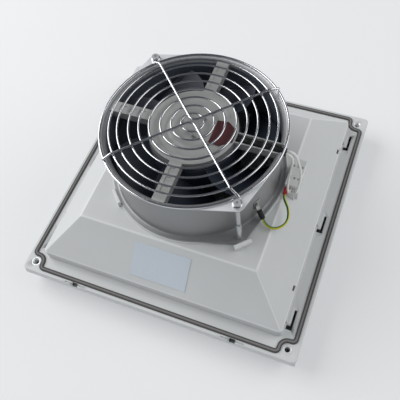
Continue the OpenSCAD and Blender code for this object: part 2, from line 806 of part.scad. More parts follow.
// Section of the casing's wall, with its flange below and its rounded mouth above
function casing_section() = concat(
    [[tunnel_r, seat_z], [flange_r, seat_z], [flange_r, seat_z + ear_flange_t]],
    arc(casing_r + lower_fillet_r, seat_z + ear_flange_t + lower_fillet_r, lower_fillet_r, 270, 180, 3),
    arc(tunnel_r + mouth_r, mouth_z - mouth_r, mouth_r - casing_t, 180, 90, mouth_steps),
    [[flange_r, mouth_z - casing_t], [flange_r, mouth_z]],
    arc(tunnel_r + mouth_r, mouth_z - mouth_r, mouth_r, 90, 180, mouth_steps)
);

module fan_casing() color("lightslategray") difference() {
    union() {
        rotate_extrude() polygon(casing_section());
        translate([0, 0, seat_z]) linear_extrude(ear_flange_t) difference() {
            ear_plan();
            circle(casing_r);
        }
        translate([0, 0, mouth_z - casing_t]) linear_extrude(casing_t) difference() {
            ear_plan();
            circle(tunnel_r + mouth_r);
        }
    }
    at_ears(ear_hole_circle_r) post(ear_hole_r, seat_z - cut, mouth_z + cut);
    translate([tunnel_r - cut, -lead_notch_w / 2, lead_z - lead_sleeve_r - sheet_gap])
        cube([flange_r, lead_notch_w, fan_depth]);
    rotate([0, 0, earth_angle]) translate([tunnel_r - cut, 0, tab_rivet_z()]) rotate([0, 90, 0])
        cylinder(h = 2 * cut + casing_t, r = rivet_r + slip);
}

// Space inside the wind tunnel and its mouth, less a gap
module tunnel_space(gap) {
    rotate_extrude() polygon(concat(
        [[0, mouth_z + gap], [0, strut_z - cut], [tunnel_r - gap, strut_z - cut]],
        arc(tunnel_r + mouth_r, mouth_z - mouth_r, mouth_r + gap, 180, 90, mouth_steps)
    ));
}

// Side walls of a strut, and its outer tab on the casing
module strut_walls() {
    for (y = [-strut_w / 2, strut_w / 2 - spider_t]) translate([plate_r - spider_t, y, strut_z])
        cube([flange_r - plate_r, spider_t, strut_d]);
}

module closed_strut() {
    run = tunnel_r - plate_r;
    difference() {
        union() {
            strut_walls();
            translate([plate_r - spider_t, -strut_w / 2, spider_top_z - spider_t]) cube([flange_r - plate_r, strut_w, spider_t]);
            intersection() {
                tube(tunnel_r, tunnel_r - spider_t, strut_z, spider_top_z);
                translate([tunnel_r / 2, -strut_w / 2, strut_z]) cube([tunnel_r, strut_w, strut_d]);
            }
        }
        for (s = recess_shares) translate([plate_r + run * s, 0, spider_top_z])
            cube([recess_l, recess_w, 2 * recess_d], center = true);
    }
}

// Open channel that carries the motor's lead
module open_strut() {
    strut_walls();
    translate([plate_r - spider_t, -strut_w / 2, strut_z]) cube([flange_r - plate_r, strut_w, spider_t]);
}

function plate_section() = let (
    top = spider_top_z, low = spider_top_z - spider_t, r = [for (s = press_shares) s * plate_r]
) [
    [0, top + press_d], [r[0], top + press_d], [r[1], top], [r[2], top], [r[3], top - press_d],
    [r[4], top - press_d], [r[5], top], [plate_r, top], [plate_r, plate_skirt_z],
    [plate_r - spider_t, plate_skirt_z], [plate_r - spider_t, low], [r[5], low], [r[4], low - press_d],
    [r[3], low - press_d], [r[2], low], [r[1], low], [r[0], low + press_d], [0, low + press_d]
];

// Copies at the plate's three rivets
module at_plate_rivets() {
    for (k = [0:2]) rotate([0, 0, plate_rivet_angle + 120 * k]) translate([plate_rivet_circle, 0, 0]) children();
}

module motor_spider() color("silver") difference() {
    union() {
        rotate_extrude() polygon(plate_section());
        intersection() {
            union() {
                for (a = [90, 180, 270]) rotate([0, 0, a]) closed_strut();
                open_strut();
            }
            tunnel_space(sheet_gap);
        }
    }
    translate([plate_r - 2 * cut - spider_t, 0, lead_z]) rotate([0, 90, 0]) cylinder(h = 3 * cut + spider_t, r = lead_hole_r);
    at_plate_rivets() post(plate_rivet_r + slip, spider_top_z - spider_t - cut, spider_top_z + cut);
}

module plate_rivets() color("silver") at_plate_rivets() {
    post(plate_rivet_r, tube_top_z - plate_rivet_l, spider_top_z);
    post(plate_rivet_head_r, spider_top_z, spider_top_z + plate_rivet_head_h);
}

module bearing_tube() color("darkgray") difference() {
    tube(tube_r, bearing_r + slip, tube_z, tube_top_z);
    at_plate_rivets() post(plate_rivet_r + slip, tube_top_z - plate_rivet_l - slip, tube_top_z + cut);
}

// Ring that the balls run in, seen as one half of each bearing
module bearing_ring(outer, inner, low) {
    difference() {
        tube(outer, inner, low, low + bearing_w);
        translate([0, 0, low + bearing_w / 2]) rotate_extrude() translate([ball_circle_r, 0]) circle(ball_r + running);
    }
}

module bearing_outer_rings() color("silver") for (z = [lower_bearing_z, upper_bearing_z]) bearing_ring(bearing_r, outer_ring_r, z);

module bearing_inner_rings() color("silver") for (z = [lower_bearing_z, upper_bearing_z]) bearing_ring(inner_ring_r, shaft_r + slip, z);

module bearing_balls() color("lightgray") for (z = [lower_bearing_z, upper_bearing_z], k = [0:ball_count - 1])
    rotate([0, 0, 360 * k / ball_count]) translate([ball_circle_r, 0, z + bearing_w / 2]) sphere(ball_r);

module motor_shaft() color("silver") difference() {
    post(shaft_r, cup_z, shaft_top_z);
    tube(shaft_r + cut, groove_r, circlip_z, circlip_z + circlip_t);
}

module shaft_circlip() color("gray") tube(circlip_r, groove_r + slip, circlip_z + slip, circlip_z + circlip_t - slip);

module stator_core() color("darkgray") difference() {
    tube(stator_r, tube_r + slip, stator_z, stator_z + stator_h);
    for (k = [0:stator_slots - 1]) rotate([0, 0, 360 * k / stator_slots])
        translate([winding_hole_r, -stator_slot_w / 2, stator_z - cut])
            cube([winding_r - winding_hole_r, stator_slot_w, stator_h + 2 * cut]);
}

module stator_windings() color("peru") for (z = [stator_z - winding_gap - winding_h, stator_z + stator_h + winding_gap])
    tube(winding_r, winding_hole_r, z, z + winding_h);

module rotor_ring() color("gray") tube(cup_r - cup_t - slip, rotor_ring_r, stator_z, stator_z + stator_h);

module rotor_cup() color("dimgray") {
    tube(cup_r, cup_r - cup_t, cup_z, cup_top_z);
    tube(cup_r - cup_t, shaft_r + slip, cup_z, cup_floor_z);
    tube(cup_boss_r, shaft_r + slip, cup_z, cup_floor_z + cup_boss_h);
}

// Point on a blade: a thin strip that sweeps back towards its tip and twists as it rises
function blade_point(s, side, level) = let (
    r = blade_root_r + (blade_tip_r - blade_root_r) * s,
    a = blade_sweep * s * s + side * blade_t / 2 / r * 180 / PI - blade_turn * level
) [r * cos(a), r * sin(a), blade_z + blade_inset + (blade_h - 2 * blade_inset) * level];

module blade() {
    ring = 2 * (blade_steps + 1);
    points = [for (k = [0:blade_slices]) each concat(
        [for (i = [0:blade_steps]) blade_point(i / blade_steps, -1, k / blade_slices)],
        [for (i = [blade_steps:-1:0]) blade_point(i / blade_steps, 1, k / blade_slices)]
    )];
    walls = [for (k = [0:blade_slices - 1]) for (i = [0:ring - 1]) let (
        a = k * ring + i, b = k * ring + (i + 1) % ring
    ) each [[a, a + ring, b + ring], [a, b + ring, b]]];
    floor = [for (i = [0:blade_steps - 1]) each [
        [i, i + 1, ring - 2 - i], [i, ring - 2 - i, ring - 1 - i]
    ]];
    top = blade_slices * ring;
    roof = [for (f = floor) [f[0] + top, f[2] + top, f[1] + top]];
    polyhedron(points, concat(walls, floor, roof), convexity = 8);
}

module impeller() color("#202124") {
    difference() {
        translate([0, 0, blade_z]) linear_extrude(blade_h)
            polygon(arc(0, 0, impeller_ring_r + impeller_ring_t, 0, 360 - 360 / ring_sides, ring_sides - 1));
        post(impeller_ring_r, blade_z - cut, blade_top_z + cut);
    }
    for (k = [0:blade_count - 1]) rotate([0, 0, 360 * k / blade_count]) blade();
}

module insulation_paper() color("#5a2830") translate([0, 0, spider_top_z]) linear_extrude(paper_t) polygon([
    [paper_start, -paper_start_half], [paper_middle, -paper_middle_half], [paper_end, -paper_end_half],
    [paper_end, paper_end_half], [paper_middle, paper_middle_half], [paper_start, paper_start_half]
]);

module lead_sleeve() color("#181818") translate([lead_sleeve_x, 0, lead_z]) rotate([0, 90, 0])
    cylinder(h = lead_sleeve_end_x - lead_sleeve_x, r = lead_sleeve_r);

module lead_wire_outer() color("white") 
    swept(smooth(outer_route, wire_steps), lead_r, wire_sides, [0, 1, 0], [1, 0, 0], [0, 1, 0]);

module lead_wire_inner() color("white") 
    swept(smooth(inner_route, wire_steps), lead_r, wire_sides, [0, 1, 0], [1, 0, 0], [0, 1, 0]);

module guard_rings() color("silver") {
    for (s = guard_ring_shares) translate([0, 0, ring_wire_z]) rotate_extrude()
        translate([guard_rim_r * s, 0]) circle(ring_wire_r);
    translate([0, 0, rim_wire_z]) rotate_extrude() translate([guard_rim_r, 0]) circle(rim_wire_r);
}

// Point beside a spoke's diagonal: s along it, off beside it, on the left or the right arm
function spoke_point(side, s, off, z) = [side * (s - off) / sqrt(2), (s + off) / sqrt(2), z];

// Path of one spoke: from the rim to the middle, round its bend, out to an ear and round the screw
function spoke_path() = let (
    bend_y = spoke_gap / 2 + spoke_bend_r,
    off = bend_y / sqrt(2) - spoke_bend_r,
    drop_r = guard_last_ring_r + 2 * spoke_wire_r,
    wrap_r = rim_wire_r + spoke_wire_r + sheet_gap,
    rest_z = rim_wire_z + wrap_r,
    over_r = guard_rim_r + spoke_wire_r
) concat(
    [spoke_point(1, over_r, off, rest_z), spoke_point(1, guard_rim_r, off, rest_z)],
    [spoke_point(1, drop_r, off, spoke_wire_z), spoke_point(1, guard_last_ring_r / 2, off, spoke_wire_z)],
    [for (p = arc(0, bend_y, spoke_bend_r, -45, -135, spoke_bend_steps)) [p[0], p[1], spoke_wire_z]],
    [spoke_point(-1, guard_last_ring_r / 2, off, spoke_wire_z), spoke_point(-1, drop_r, off, spoke_wire_z)],
    [for (p = arc(guard_rim_r, rim_wire_z, wrap_r, 90, 0, 4)) spoke_point(-1, p[0], -eye_r, max(p[1], eye_wire_z))],
    [for (p = arc(ear_hole_circle_r, 0, eye_r, -90, 180, 9)) spoke_point(-1, p[0], p[1], eye_wire_z)]
);

module guard_spokes() color("silver") for (turn = [0, 180]) rotate([0, 0, turn])
    let (path = spoke_path(), last = len(path) - 1)
        swept(path, spoke_wire_r, wire_sides, [0, 0, 1], path[1] - path[0], path[last] - path[last - 1]);

module guard_screws() color("silver") at_ears(ear_hole_circle_r) difference() {
    union() {
        post(guard_screw_r, screw_tip_z, screw_head_z);
        post(guard_screw_head_r, screw_head_z, screw_head_z + guard_screw_head_h);
    }
    translate([0, 0, screw_head_z + guard_screw_head_h - hex_d]) cylinder(h = hex_d + cut, r = hex_r, $fn = 6);
}

module spacer_sleeves() color("silver") at_ears(ear_hole_circle_r)
    tube(sleeve_r, guard_screw_r + running, sleeve_z, sleeve_z + sleeve_h);

// Copies at the three poles of the terminal block
module at_poles() {
    for (k = [0:2]) translate([pole_x + k * pole_pitch, 0, 0]) children();
}

module terminal_block() color("ghostwhite") difference() {
    translate([block_x, block_y, block_z]) cube([block_w, block_l, block_h]);
    at_poles() {
        translate([0, block_y - cut, entry_z]) rotate([-90, 0, 0]) cylinder(h = block_l + 2 * cut, r = entry_r);
        translate([-clamp_w / 2 - slip, block_y + clamp_end - slip, clamp_z - slip])
            cube([clamp_w + 2 * slip, block_l - 2 * clamp_end + 2 * slip, clamp_h + 2 * slip]);
        for (y = [-terminal_screw_y, terminal_screw_y]) translate([0, block_y + block_l / 2 + y, 0])
            post(terminal_screw_r + running, entry_z, block_z + block_h + cut);
    }
}

module terminal_clamps() color("goldenrod") at_poles() translate([-clamp_w / 2, block_y + clamp_end, clamp_z])
    cube([clamp_w, block_l - 2 * clamp_end, clamp_h]);

module terminal_screws() color("silver") at_poles() for (y = [-terminal_screw_y, terminal_screw_y])
    translate([0, block_y + block_l / 2 + y, 0]) difference() {
        post(terminal_screw_r, clamp_z + clamp_h, clamp_z + clamp_h + terminal_screw_h);
        translate([0, 0, clamp_z + clamp_h + terminal_screw_h])
            cube([2 * terminal_screw_r + cut, screw_slot_w, 2 * screw_slot_d], center = true);
    }

module earth_ferrule() color("firebrick") translate([pole_x, block_y, entry_z]) {
    rotate([90, 0, 0]) cylinder(h = ferrule_l, r = ferrule_r);
    rotate([-90, 0, 0]) cylinder(h = clamp_end, r = ferrule_tip_r);
}

module earth_wire() color("yellowgreen") 
    swept(smooth(earth_route, wire_steps), earth_r, wire_sides, [0, 0, 1], [0, -1, 0], earth_sleeve_along());

function earth_sleeve_along() = [
    -sin(earth_tilt) * cos(earth_angle), -sin(earth_tilt) * sin(earth_angle), cos(earth_tilt)
];

// Frame at the earth wire's end, with Z along the sleeve towards the casing
module at_earth_sleeve() {
    rotate([0, 0, earth_angle]) translate([earth_radius, 0, earth_z]) rotate([0, -earth_tilt, 0]) children();
}

module earth_sleeve() color("#181818") at_earth_sleeve() difference() {
    cylinder(h = earth_sleeve_l, r = earth_sleeve_r);
    translate([-tab_t / 2 - running, -tab_w / 2 - running, earth_sleeve_l - tab_insert - running])
        cube([tab_t + 2 * running, tab_w + 2 * running, tab_insert + cut]);
}

function tab_foot_z() = earth_z + (earth_sleeve_l + tab_reach - 2 * tab_t) * cos(earth_tilt);
function tab_rivet_z() = tab_foot_z() + tab_foot_h / 2;

module earth_tab() color("silver") difference() {
    union() {
        at_earth_sleeve() translate([-tab_t / 2, -tab_w / 2, earth_sleeve_l - tab_insert])
            cube([tab_t, tab_w, tab_insert + tab_reach]);
        rotate([0, 0, earth_angle]) translate([casing_r, -tab_foot_w / 2, tab_foot_z()]) cube([tab_t, tab_foot_w, tab_foot_h]);
    }
    rotate([0, 0, earth_angle]) translate([casing_r - cut, 0, tab_rivet_z()]) rotate([0, 90, 0])
        cylinder(h = 2 * cut + tab_t, r = rivet_r + slip);
}

module earth_rivet() color("silver") rotate([0, 0, earth_angle]) translate([0, 0, tab_rivet_z()]) rotate([0, 90, 0]) {
    post(rivet_r, tunnel_r, casing_r + tab_t);
    post(rivet_head_r, casing_r + tab_t, casing_r + tab_t + rivet_head_t);
}

housing();
frame_gasket();
corner_bushes();
louvre_cover();
filter_mat();
mat_grid();
rating_plate();
fan_casing();
motor_spider();
plate_rivets();
bearing_tube();
bearing_outer_rings();
bearing_balls();
bearing_inner_rings();
motor_shaft();
shaft_circlip();
stator_core();
stator_windings();
rotor_ring();
rotor_cup();
impeller();
insulation_paper();
lead_sleeve();
lead_wire_outer();
lead_wire_inner();
guard_rings();
guard_spokes();
guard_screws();
spacer_sleeves();
terminal_block();
terminal_clamps();
terminal_screws();
earth_ferrule();
earth_wire();
earth_sleeve();
earth_tab();
earth_rivet();
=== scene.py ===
# A cabinet fan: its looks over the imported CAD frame
import math
import bpy
import numpy as np
from mathutils import Matrix, Vector


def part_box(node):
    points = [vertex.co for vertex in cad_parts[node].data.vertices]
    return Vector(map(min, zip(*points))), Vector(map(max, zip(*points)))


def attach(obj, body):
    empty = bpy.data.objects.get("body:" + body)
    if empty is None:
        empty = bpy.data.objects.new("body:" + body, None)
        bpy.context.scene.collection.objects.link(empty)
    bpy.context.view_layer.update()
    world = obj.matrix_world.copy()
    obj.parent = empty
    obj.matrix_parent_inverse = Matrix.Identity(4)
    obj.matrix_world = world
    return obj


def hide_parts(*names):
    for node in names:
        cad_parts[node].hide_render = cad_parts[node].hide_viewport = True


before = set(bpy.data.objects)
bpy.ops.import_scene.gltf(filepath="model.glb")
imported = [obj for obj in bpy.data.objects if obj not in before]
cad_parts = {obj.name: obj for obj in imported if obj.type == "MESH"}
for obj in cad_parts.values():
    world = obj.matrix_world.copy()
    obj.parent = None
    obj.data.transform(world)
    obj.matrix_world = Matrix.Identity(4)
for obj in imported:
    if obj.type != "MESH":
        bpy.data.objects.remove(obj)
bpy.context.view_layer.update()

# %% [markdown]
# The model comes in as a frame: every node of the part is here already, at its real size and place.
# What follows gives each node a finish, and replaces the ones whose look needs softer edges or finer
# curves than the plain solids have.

MM = 0.001

# %% [markdown]
# ## The camera
# The picture was taken from high up on the label's side and a little to its right, with the camera
# tilted sideways by ten degrees. The aim, the distance, the three angles and the focal length were
# found by fitting the frame's corners, the guard's rings and the fan's ears to where they show. A
# Track To constraint could aim the camera, but it can't hold the tilt. So the camera's three axes are
# worked out, and a quaternion takes them.

# %% Place the camera
AIM = Vector((2.28, -13.61, 30.0)) * MM
DISTANCE = 519.03 * MM
SENSOR_WIDE = 36
FOCAL_PIXELS, PICTURE_PIXELS = 558.26, 400
azimuth, elevation, tilt = (math.radians(angle) for angle in (29.85, 59.63, -9.98))
flat_share = math.cos(elevation)
back = Vector((math.sin(azimuth) * flat_share, -math.cos(azimuth) * flat_share, math.sin(elevation)))
level = (-back).cross(Vector((0, 0, 1))).normalized()
upright = level.cross(-back)
right = math.cos(tilt) * level + math.sin(tilt) * upright
top = -math.sin(tilt) * level + math.cos(tilt) * upright
lens = bpy.data.cameras.new("camera")
lens.lens = SENSOR_WIDE * FOCAL_PIXELS / PICTURE_PIXELS
lens.sensor_width = SENSOR_WIDE
camera = bpy.data.objects.new("camera", lens)
camera.rotation_mode = "QUATERNION"
camera.rotation_quaternion = Matrix((right, top, back)).transposed().to_quaternion()
camera.location = AIM + back * DISTANCE
bpy.context.scene.collection.objects.link(camera)
bpy.context.scene.camera = camera
print("camera at", [round(value, 3) for value in camera.location])

# %% [markdown]
# ## Shader sums in plain Python
# A material is a tree of nodes, which is usually drawn by hand in the shader editor. Written out node
# by node it gets long, and a formula is easier to read. Signal wraps one output, so a sum or a
# product of signals adds its Math nodes by itself. Every other node comes from one method of Tree.

# %% Signal
class Signal:
    """A value on its way through a node tree."""

    def __init__(self, owner, socket):
        self.owner = owner
        self.socket = socket

    def sums(self, operation, *values):
        """One Math node with the operation on these values."""
        return self.owner.node("ShaderNodeMath", {"operation": operation}, *values)

    def __add__(self, other):
        return self.sums("ADD", self, other)

    def __sub__(self, other):
        return self.sums("SUBTRACT", self, other)

    def __rsub__(self, other):
        return self.sums("SUBTRACT", other, self)

    def __mul__(self, other):
        return self.sums("MULTIPLY", self, other)

    def __abs__(self):
        return self.sums("ABSOLUTE", self)

    __radd__ = __add__
    __rmul__ = __mul__

    def most(self, other):
        """The larger of two signals."""
        return self.sums("MAXIMUM", self, other)

    def root(self):
        """The square root."""
        return self.sums("SQRT", self)

    def step(self, low, high):
        """0 below low, 1 above high, and a smooth rise between them."""
        settings = {"interpolation_type": "SMOOTHSTEP"}
        return self.owner.node("ShaderNodeMapRange", settings, self, low, high, 0.0, 1.0)


# %% Tree
# A Mix node has five sockets of other kinds between its factor and its two colours
OTHER_KINDS, MIXED_COLOUR = (None,) * 5, 2


class Tree:
    """A node tree whose nodes all come from one method."""

    def __init__(self, node_tree):
        self.node_tree = node_tree

    def put(self, socket, value):
        """Links a signal to a socket, or sets the socket's own value; a short colour gets alpha 1."""
        if isinstance(value, Signal):
            self.node_tree.links.new(value.socket, socket)
        elif hasattr(value, "__len__"):
            socket.default_value = tuple(value) + (1.0,) * (len(socket.default_value) - len(value))
        else:
            socket.default_value = value

    def node(self, kind, settings, *values, out=0, **named):
        """Adds a node, sets it up, fills its sockets in order and by name, and gives one output."""
        node = self.node_tree.nodes.new(kind)
        for key, value in settings.items():
            setattr(node, key, value)
        for socket, value in zip(node.inputs, values):
            if value is not None:
                self.put(socket, value)
        for key, value in named.items():
            self.put(node.inputs[key], value)
        return Signal(self, node.outputs[out])

    def mix(self, share, first, second):
        """A colour between two colours: first * (1 - share) + second * share."""
        settings = {"data_type": "RGBA"}
        return self.node("ShaderNodeMix", settings, share, *OTHER_KINDS, first, second, out=MIXED_COLOUR)

    def tint(self, share, colour, spread):
        """A colour that gets lighter and darker by a share of itself."""
        dark = [channel * (1 - spread) for channel in colour]
        light = [min(channel * (1 + spread), 1) for channel in colour]
        return self.mix(share, dark, light)


# %% [markdown]
# A finish is a material with one Principled shader. Its patterns could follow a UV map, but these
# pieces have none, so they follow the object's own coordinates and stay on the piece when it moves.

# %% Finish
class Finish(Tree):
    """One material with a Principled shader; values may be numbers, colours or signals."""

    def __init__(self, name, **values):
        self.material = bpy.data.materials.new(name)
        self.material.use_nodes = True
        super().__init__(self.material.node_tree)
        self.shader = self.node_tree.nodes["Principled BSDF"]
        self.place = self.node("ShaderNodeTexCoord", {}, out="Object")
        self.set(**values)

    def set(self, **values):
        """Sets or links sockets of the shader; an underscore stands for a space."""
        for name, value in values.items():
            self.put(self.shader.inputs[name.replace("_", " ")], value)
        return self

    def noise(self, size, detail=2.0, roughness=0.5, stretch=(1, 1, 1)):
        """Noise from 0 to 1 with features of the given size in millimetres, drawn out along an axis."""
        scale = [1 / (size * MM * s) for s in stretch]
        spot = self.node("ShaderNodeMapping", {}, self.place, (0, 0, 0), (0, 0, 0), scale)
        return self.node("ShaderNodeTexNoise", {}, spot, None, 1.0, detail, roughness)

    def split(self):
        """The X, Y and Z of a point, as three signals in metres."""
        parts = self.node("ShaderNodeSeparateXYZ", {}, self.place)
        return [Signal(self, socket) for socket in parts.socket.node.outputs]

    def carried(self):
        """The number that a piece carries at each of its points."""
        return self.node("ShaderNodeAttribute", {"attribute_name": "around"}, out=2)

    def relief(self, height, depth, rounding=0.0):
        """Bumps of a depth in millimetres, on edges softened by a radius in millimetres."""
        bumps = {"Strength": 1.0, "Distance": depth * MM, "Height": height}
        if rounding:
            bumps["Normal"] = self.node("ShaderNodeBevel", {"samples": 4}, rounding * MM)
        return self.set(Normal=self.node("ShaderNodeBump", {}, **bumps))


# %% [markdown]
# ## Table and light
# The part lies on a plain pale table, which is matt and so wide that its edge isn't seen from above.
# It glows a little, like a light table, because the photo has nearly no shadow on the part's near
# side, and a third lamp low in front would light the near slope too much.

# %% The table
FLOOR_HALF, FLOOR_LEVEL = 6, -0.0004
floor_mesh = bpy.data.meshes.new("floor")
floor_signs = ((-1, -1), (1, -1), (1, 1), (-1, 1))
floor_corners = [(x * FLOOR_HALF, y * FLOOR_HALF, FLOOR_LEVEL) for x, y in floor_signs]
floor_mesh.from_pydata(floor_corners, [], [(0, 1, 2, 3)])
floor = bpy.data.objects.new("floor", floor_mesh)
bpy.context.scene.collection.objects.link(floor)
floor_finish = Finish("pale_table", Specular_IOR_Level=0.2)
table_clouds = floor_finish.noise(160, 2)
floor_finish.set(Base_Color=floor_finish.tint(table_clouds, (0.56, 0.565, 0.57), 0.01))
floor_finish.set(Emission_Color=(0.24, 0.244, 0.25), Emission_Strength=1.0)
floor_finish.set(Roughness=0.75 + (table_clouds - 0.5) * 0.1)
floor.data.materials.append(floor_finish.material)
print("table", 2 * FLOOR_HALF, "m wide")

# %% [markdown]
# One large lamp stands to the upper left, so the slopes that face it are nearly white and the others
# shade off softly, and a weaker one stands to the right. The world gives the rest. A picture of a
# studio would light the part too, but two lamps and a plain world are easy to change. The world looks
# paler to the camera than it shines, so that the background stays light. Bright wire mirrors a
# darker room with the two lamps in it, which gives each ring its highlight and dark flanks.

# %% Lamps and world
def lamp(name, place, size, power):
    """A square area lamp of a size in metres that looks at the part from a place."""
    data = bpy.data.lights.new(name, "AREA")
    data.size = size
    data.energy = power
    obj = bpy.data.objects.new(name, data)
    obj.location = place
    obj.rotation_mode = "QUATERNION"
    obj.rotation_quaternion = (AIM - Vector(place)).to_track_quat("-Z", "Y")
    bpy.context.scene.collection.objects.link(obj)


lamp("key", (-1.3, 0.05, 1.05), 1.5, 22.5)
lamp("fill", (1.2, 0.5, 0.95), 1.3, 9)
SHINES, SEEN, MIRRORED = (0.42, 0.43, 0.44), (0.86, 0.87, 0.88), (0.075, 0.08, 0.09)
world = bpy.data.worlds.new("world")
world.use_nodes = True
bpy.context.scene.world = world
room = Tree(world.node_tree)
to_camera = room.node("ShaderNodeLightPath", {}, out="Is Camera Ray")
to_mirror = room.node("ShaderNodeLightPath", {}, out="Is Glossy Ray")
glow = room.mix(to_mirror, room.mix(to_camera, SHINES, SEEN), MIRRORED)
room.put(world.node_tree.nodes["Background"].inputs["Color"], glow)
bpy.context.scene.view_settings.view_transform = "Standard"
print("lamps", sorted(data.name for data in bpy.data.lights))

# %% [markdown]
# ## The finishes
# Mouldings are never quite even: the light grey plastic has a fine spark-eroded grain and faint flow
# marks. Sheet metal is drawn or pressed, so its grain runs along one direction. Each finish below
# is named for the real surface, and its colour and relief vary a little, and mostly its roughness
# too. Photographed textures would bring their own light and seams, so noise is used.

# %% Plastics
MOULDED_GREY, COVER_GREY = (0.60, 0.612, 0.615), (0.62, 0.632, 0.635)
FLOW_MARKS, FLOW_SPREAD = 38, 0.035


def moulded(name, colour, roughness, grain=0.02, rounding=0.35, spread=FLOW_SPREAD):
    """Spark-eroded plastic: fine grain, faint clouds in colour and roughness, softened edges."""
    finish = Finish(name, Specular_IOR_Level=0.45)
    clouds = finish.noise(FLOW_MARKS, 3)
    fine = finish.noise(0.7, 3, 0.65)
    finish.set(Base_Color=finish.tint(clouds * 0.7 + fine * 0.3, colour, spread))
    finish.set(Roughness=roughness + (clouds - 0.5) * 0.08 + (fine - 0.5) * 0.1)
    return finish.relief(fine, grain, rounding)


housing_finish = moulded("light_grey_moulding", MOULDED_GREY, 0.46)
cover_finish = moulded("light_grey_cover", COVER_GREY, 0.42)
grid_finish = moulded("light_grey_grid", (0.60, 0.61, 0.61), 0.5)
white_lead_finish = moulded("white_insulation", (0.78, 0.78, 0.76), 0.35, 0.01, 0, 0.05)
red_finish = moulded("red_collar", (0.55, 0.02, 0.025), 0.35, 0.01, 0.2, 0.12)
blade_finish = moulded("near_black_blades", (0.022, 0.029, 0.044), 0.5, 0.02, 0.3, 0.3)
block_finish = moulded("milky_block", (0.80, 0.81, 0.80), 0.3, 0.01, 0.25, 0.03)
block_finish.set(Subsurface_Weight=0.35, Subsurface_Radius=(0.004, 0.004, 0.004), Transmission_Weight=0.15)
print("plastics made")

# %% [markdown]
# A painted highlight makes the housing's folds a little paler than its faces, as if their rounds
# caught the light, and also what stands above the fan's seat, which lies in the fan's shade. Masks
# find them from the place alone, in metres: the mitres where x is as far out as y, the knee at one
# level, the brow at one width, and all above one level. A mask fades out between two values. The
# cover's latch tongues end in a painted shade: their tips are drawn nearly black.

# %% Painted highlight on the folds, painted shade on the tongue tips
KNEE_LEVEL, BROW_HALF = 0.0365, 0.079
FOLD_CORE, MITRE_FADE, KNEE_FADE, BROW_FADE = 0.0003, 0.0012, 0.0011, 0.0013
SLOPE_RISE, SLOPE_SPAN, BROW_RISE = (0.034, 0.036), (0.0785, 0.0792), (0.065, 0.066)
ABOVE_SEAT, ABOVE_TONGUE = (0.0701, 0.0704), (0.0195, 0.0205)


def near(distance, fade):
    """1 where a distance is below the core of a fold, 0 where it is above the fade."""
    return 1 - distance.step(FOLD_CORE, fade)


out_x, out_y, level_above = (abs(value) for value in housing_finish.split())
outer = out_x.most(out_y)
mitre = near(abs(out_x - out_y), MITRE_FADE) * level_above.step(*SLOPE_RISE) * outer.step(*SLOPE_SPAN)
knee = near(abs(level_above - KNEE_LEVEL), KNEE_FADE)
brow = near(abs(outer - BROW_HALF), BROW_FADE) * level_above.step(*BROW_RISE)
painted_highlight = mitre.most(knee).most(brow).most(level_above.step(*ABOVE_SEAT))
flow = housing_finish.noise(FLOW_MARKS, 3)
plain = housing_finish.tint(flow, MOULDED_GREY, FLOW_SPREAD)
# Painted highlight: the folds and all above the seat take a paler grey
painted_highlight_tone = housing_finish.tint(flow, (0.73, 0.74, 0.745), 0.02)
housing_finish.set(Base_Color=housing_finish.mix(painted_highlight, plain, painted_highlight_tone))
cover_flow = cover_finish.noise(FLOW_MARKS, 3)
cover_plain = cover_finish.tint(cover_flow, COVER_GREY, FLOW_SPREAD)
# Painted shade: the latch tongues' tips, above the rim, are nearly black
painted_shade_tip = cover_finish.tint(cover_flow, (0.05, 0.05, 0.052), 0.1)
cover_level = cover_finish.split()[2]
cover_finish.set(Base_Color=cover_finish.mix(cover_level.step(*ABOVE_TONGUE), cover_plain, painted_shade_tip))
print("folds and tips made")

# %% [markdown]
# Wire, screws, sheet and bearings differ in colour, in roughness and in how their grain is drawn out.
# One function makes them all, because worked metal differs in its numbers and not in its kind. A
# shine below 1 stands for metal that is dull or thinly coated.

# %% Metals
CASING_GREY = (0.33, 0.335, 0.34)


def metal(name, colour, roughness, stretch=(1, 1, 1), size=1.2, rounding=0.25, shine=1.0, scratch=0.006):
    """Worked metal: grain drawn out along one direction, in colour, roughness and relief."""
    finish = Finish(name, Metallic=shine)
    grain = finish.noise(size, 4, 0.6, stretch)
    stains = finish.noise(17, 3)
    finish.set(Base_Color=finish.tint(stains * 0.6 + grain * 0.4, colour, 0.10))
    finish.set(Roughness=roughness + (grain - 0.5) * 0.16 + (stains - 0.5) * 0.1)
    return finish.relief(grain, scratch, rounding)


chrome_finish = metal("bright_wire", (0.76, 0.77, 0.79), 0.2, rounding=0, scratch=0.002)
plated_finish = metal("bright_plate", (0.86, 0.87, 0.88), 0.28, size=0.8, shine=0.35)
screw_finish = metal(
    "screw_plate", (0.60, 0.61, 0.62), 0.25, size=0.8, rounding=0.1, shine=0.5, scratch=0.001,
)
zinc_finish = metal("zinc_plate", (0.48, 0.48, 0.47), 0.3, size=0.8)
spider_finish = metal("pressed_sheet", (0.37, 0.375, 0.37), 0.58, (6, 1, 1), 0.5, 0.5, 0.3)
casing_finish = metal("casing_sheet", CASING_GREY, 0.45, (1, 1, 6), 0.8, 0.4, 0.6)
rotor_finish = metal("black_cup", (0.02, 0.02, 0.022), 0.4, shine=0.3)
core_finish = metal("stacked_sheet", (0.30, 0.30, 0.31), 0.45, (8, 8, 1), 0.5, 0.1)
copper_finish = metal("varnished_copper", (0.62, 0.27, 0.11), 0.3, (8, 8, 1), 0.5, 0.2)
brass_finish = metal("clamp_brass", (0.72, 0.56, 0.28), 0.3)
bearing_finish = metal("ground_steel", (0.58, 0.58, 0.59), 0.18, (1, 1, 8), 0.4, 0.15)
spring_finish = metal("dark_spring_steel", (0.16, 0.16, 0.17), 0.35, size=0.6, rounding=0.1)
alloy_finish = metal("turned_alloy", (0.52, 0.53, 0.54), 0.35, (1, 1, 8), 0.4, 0.2)
print("metals made")
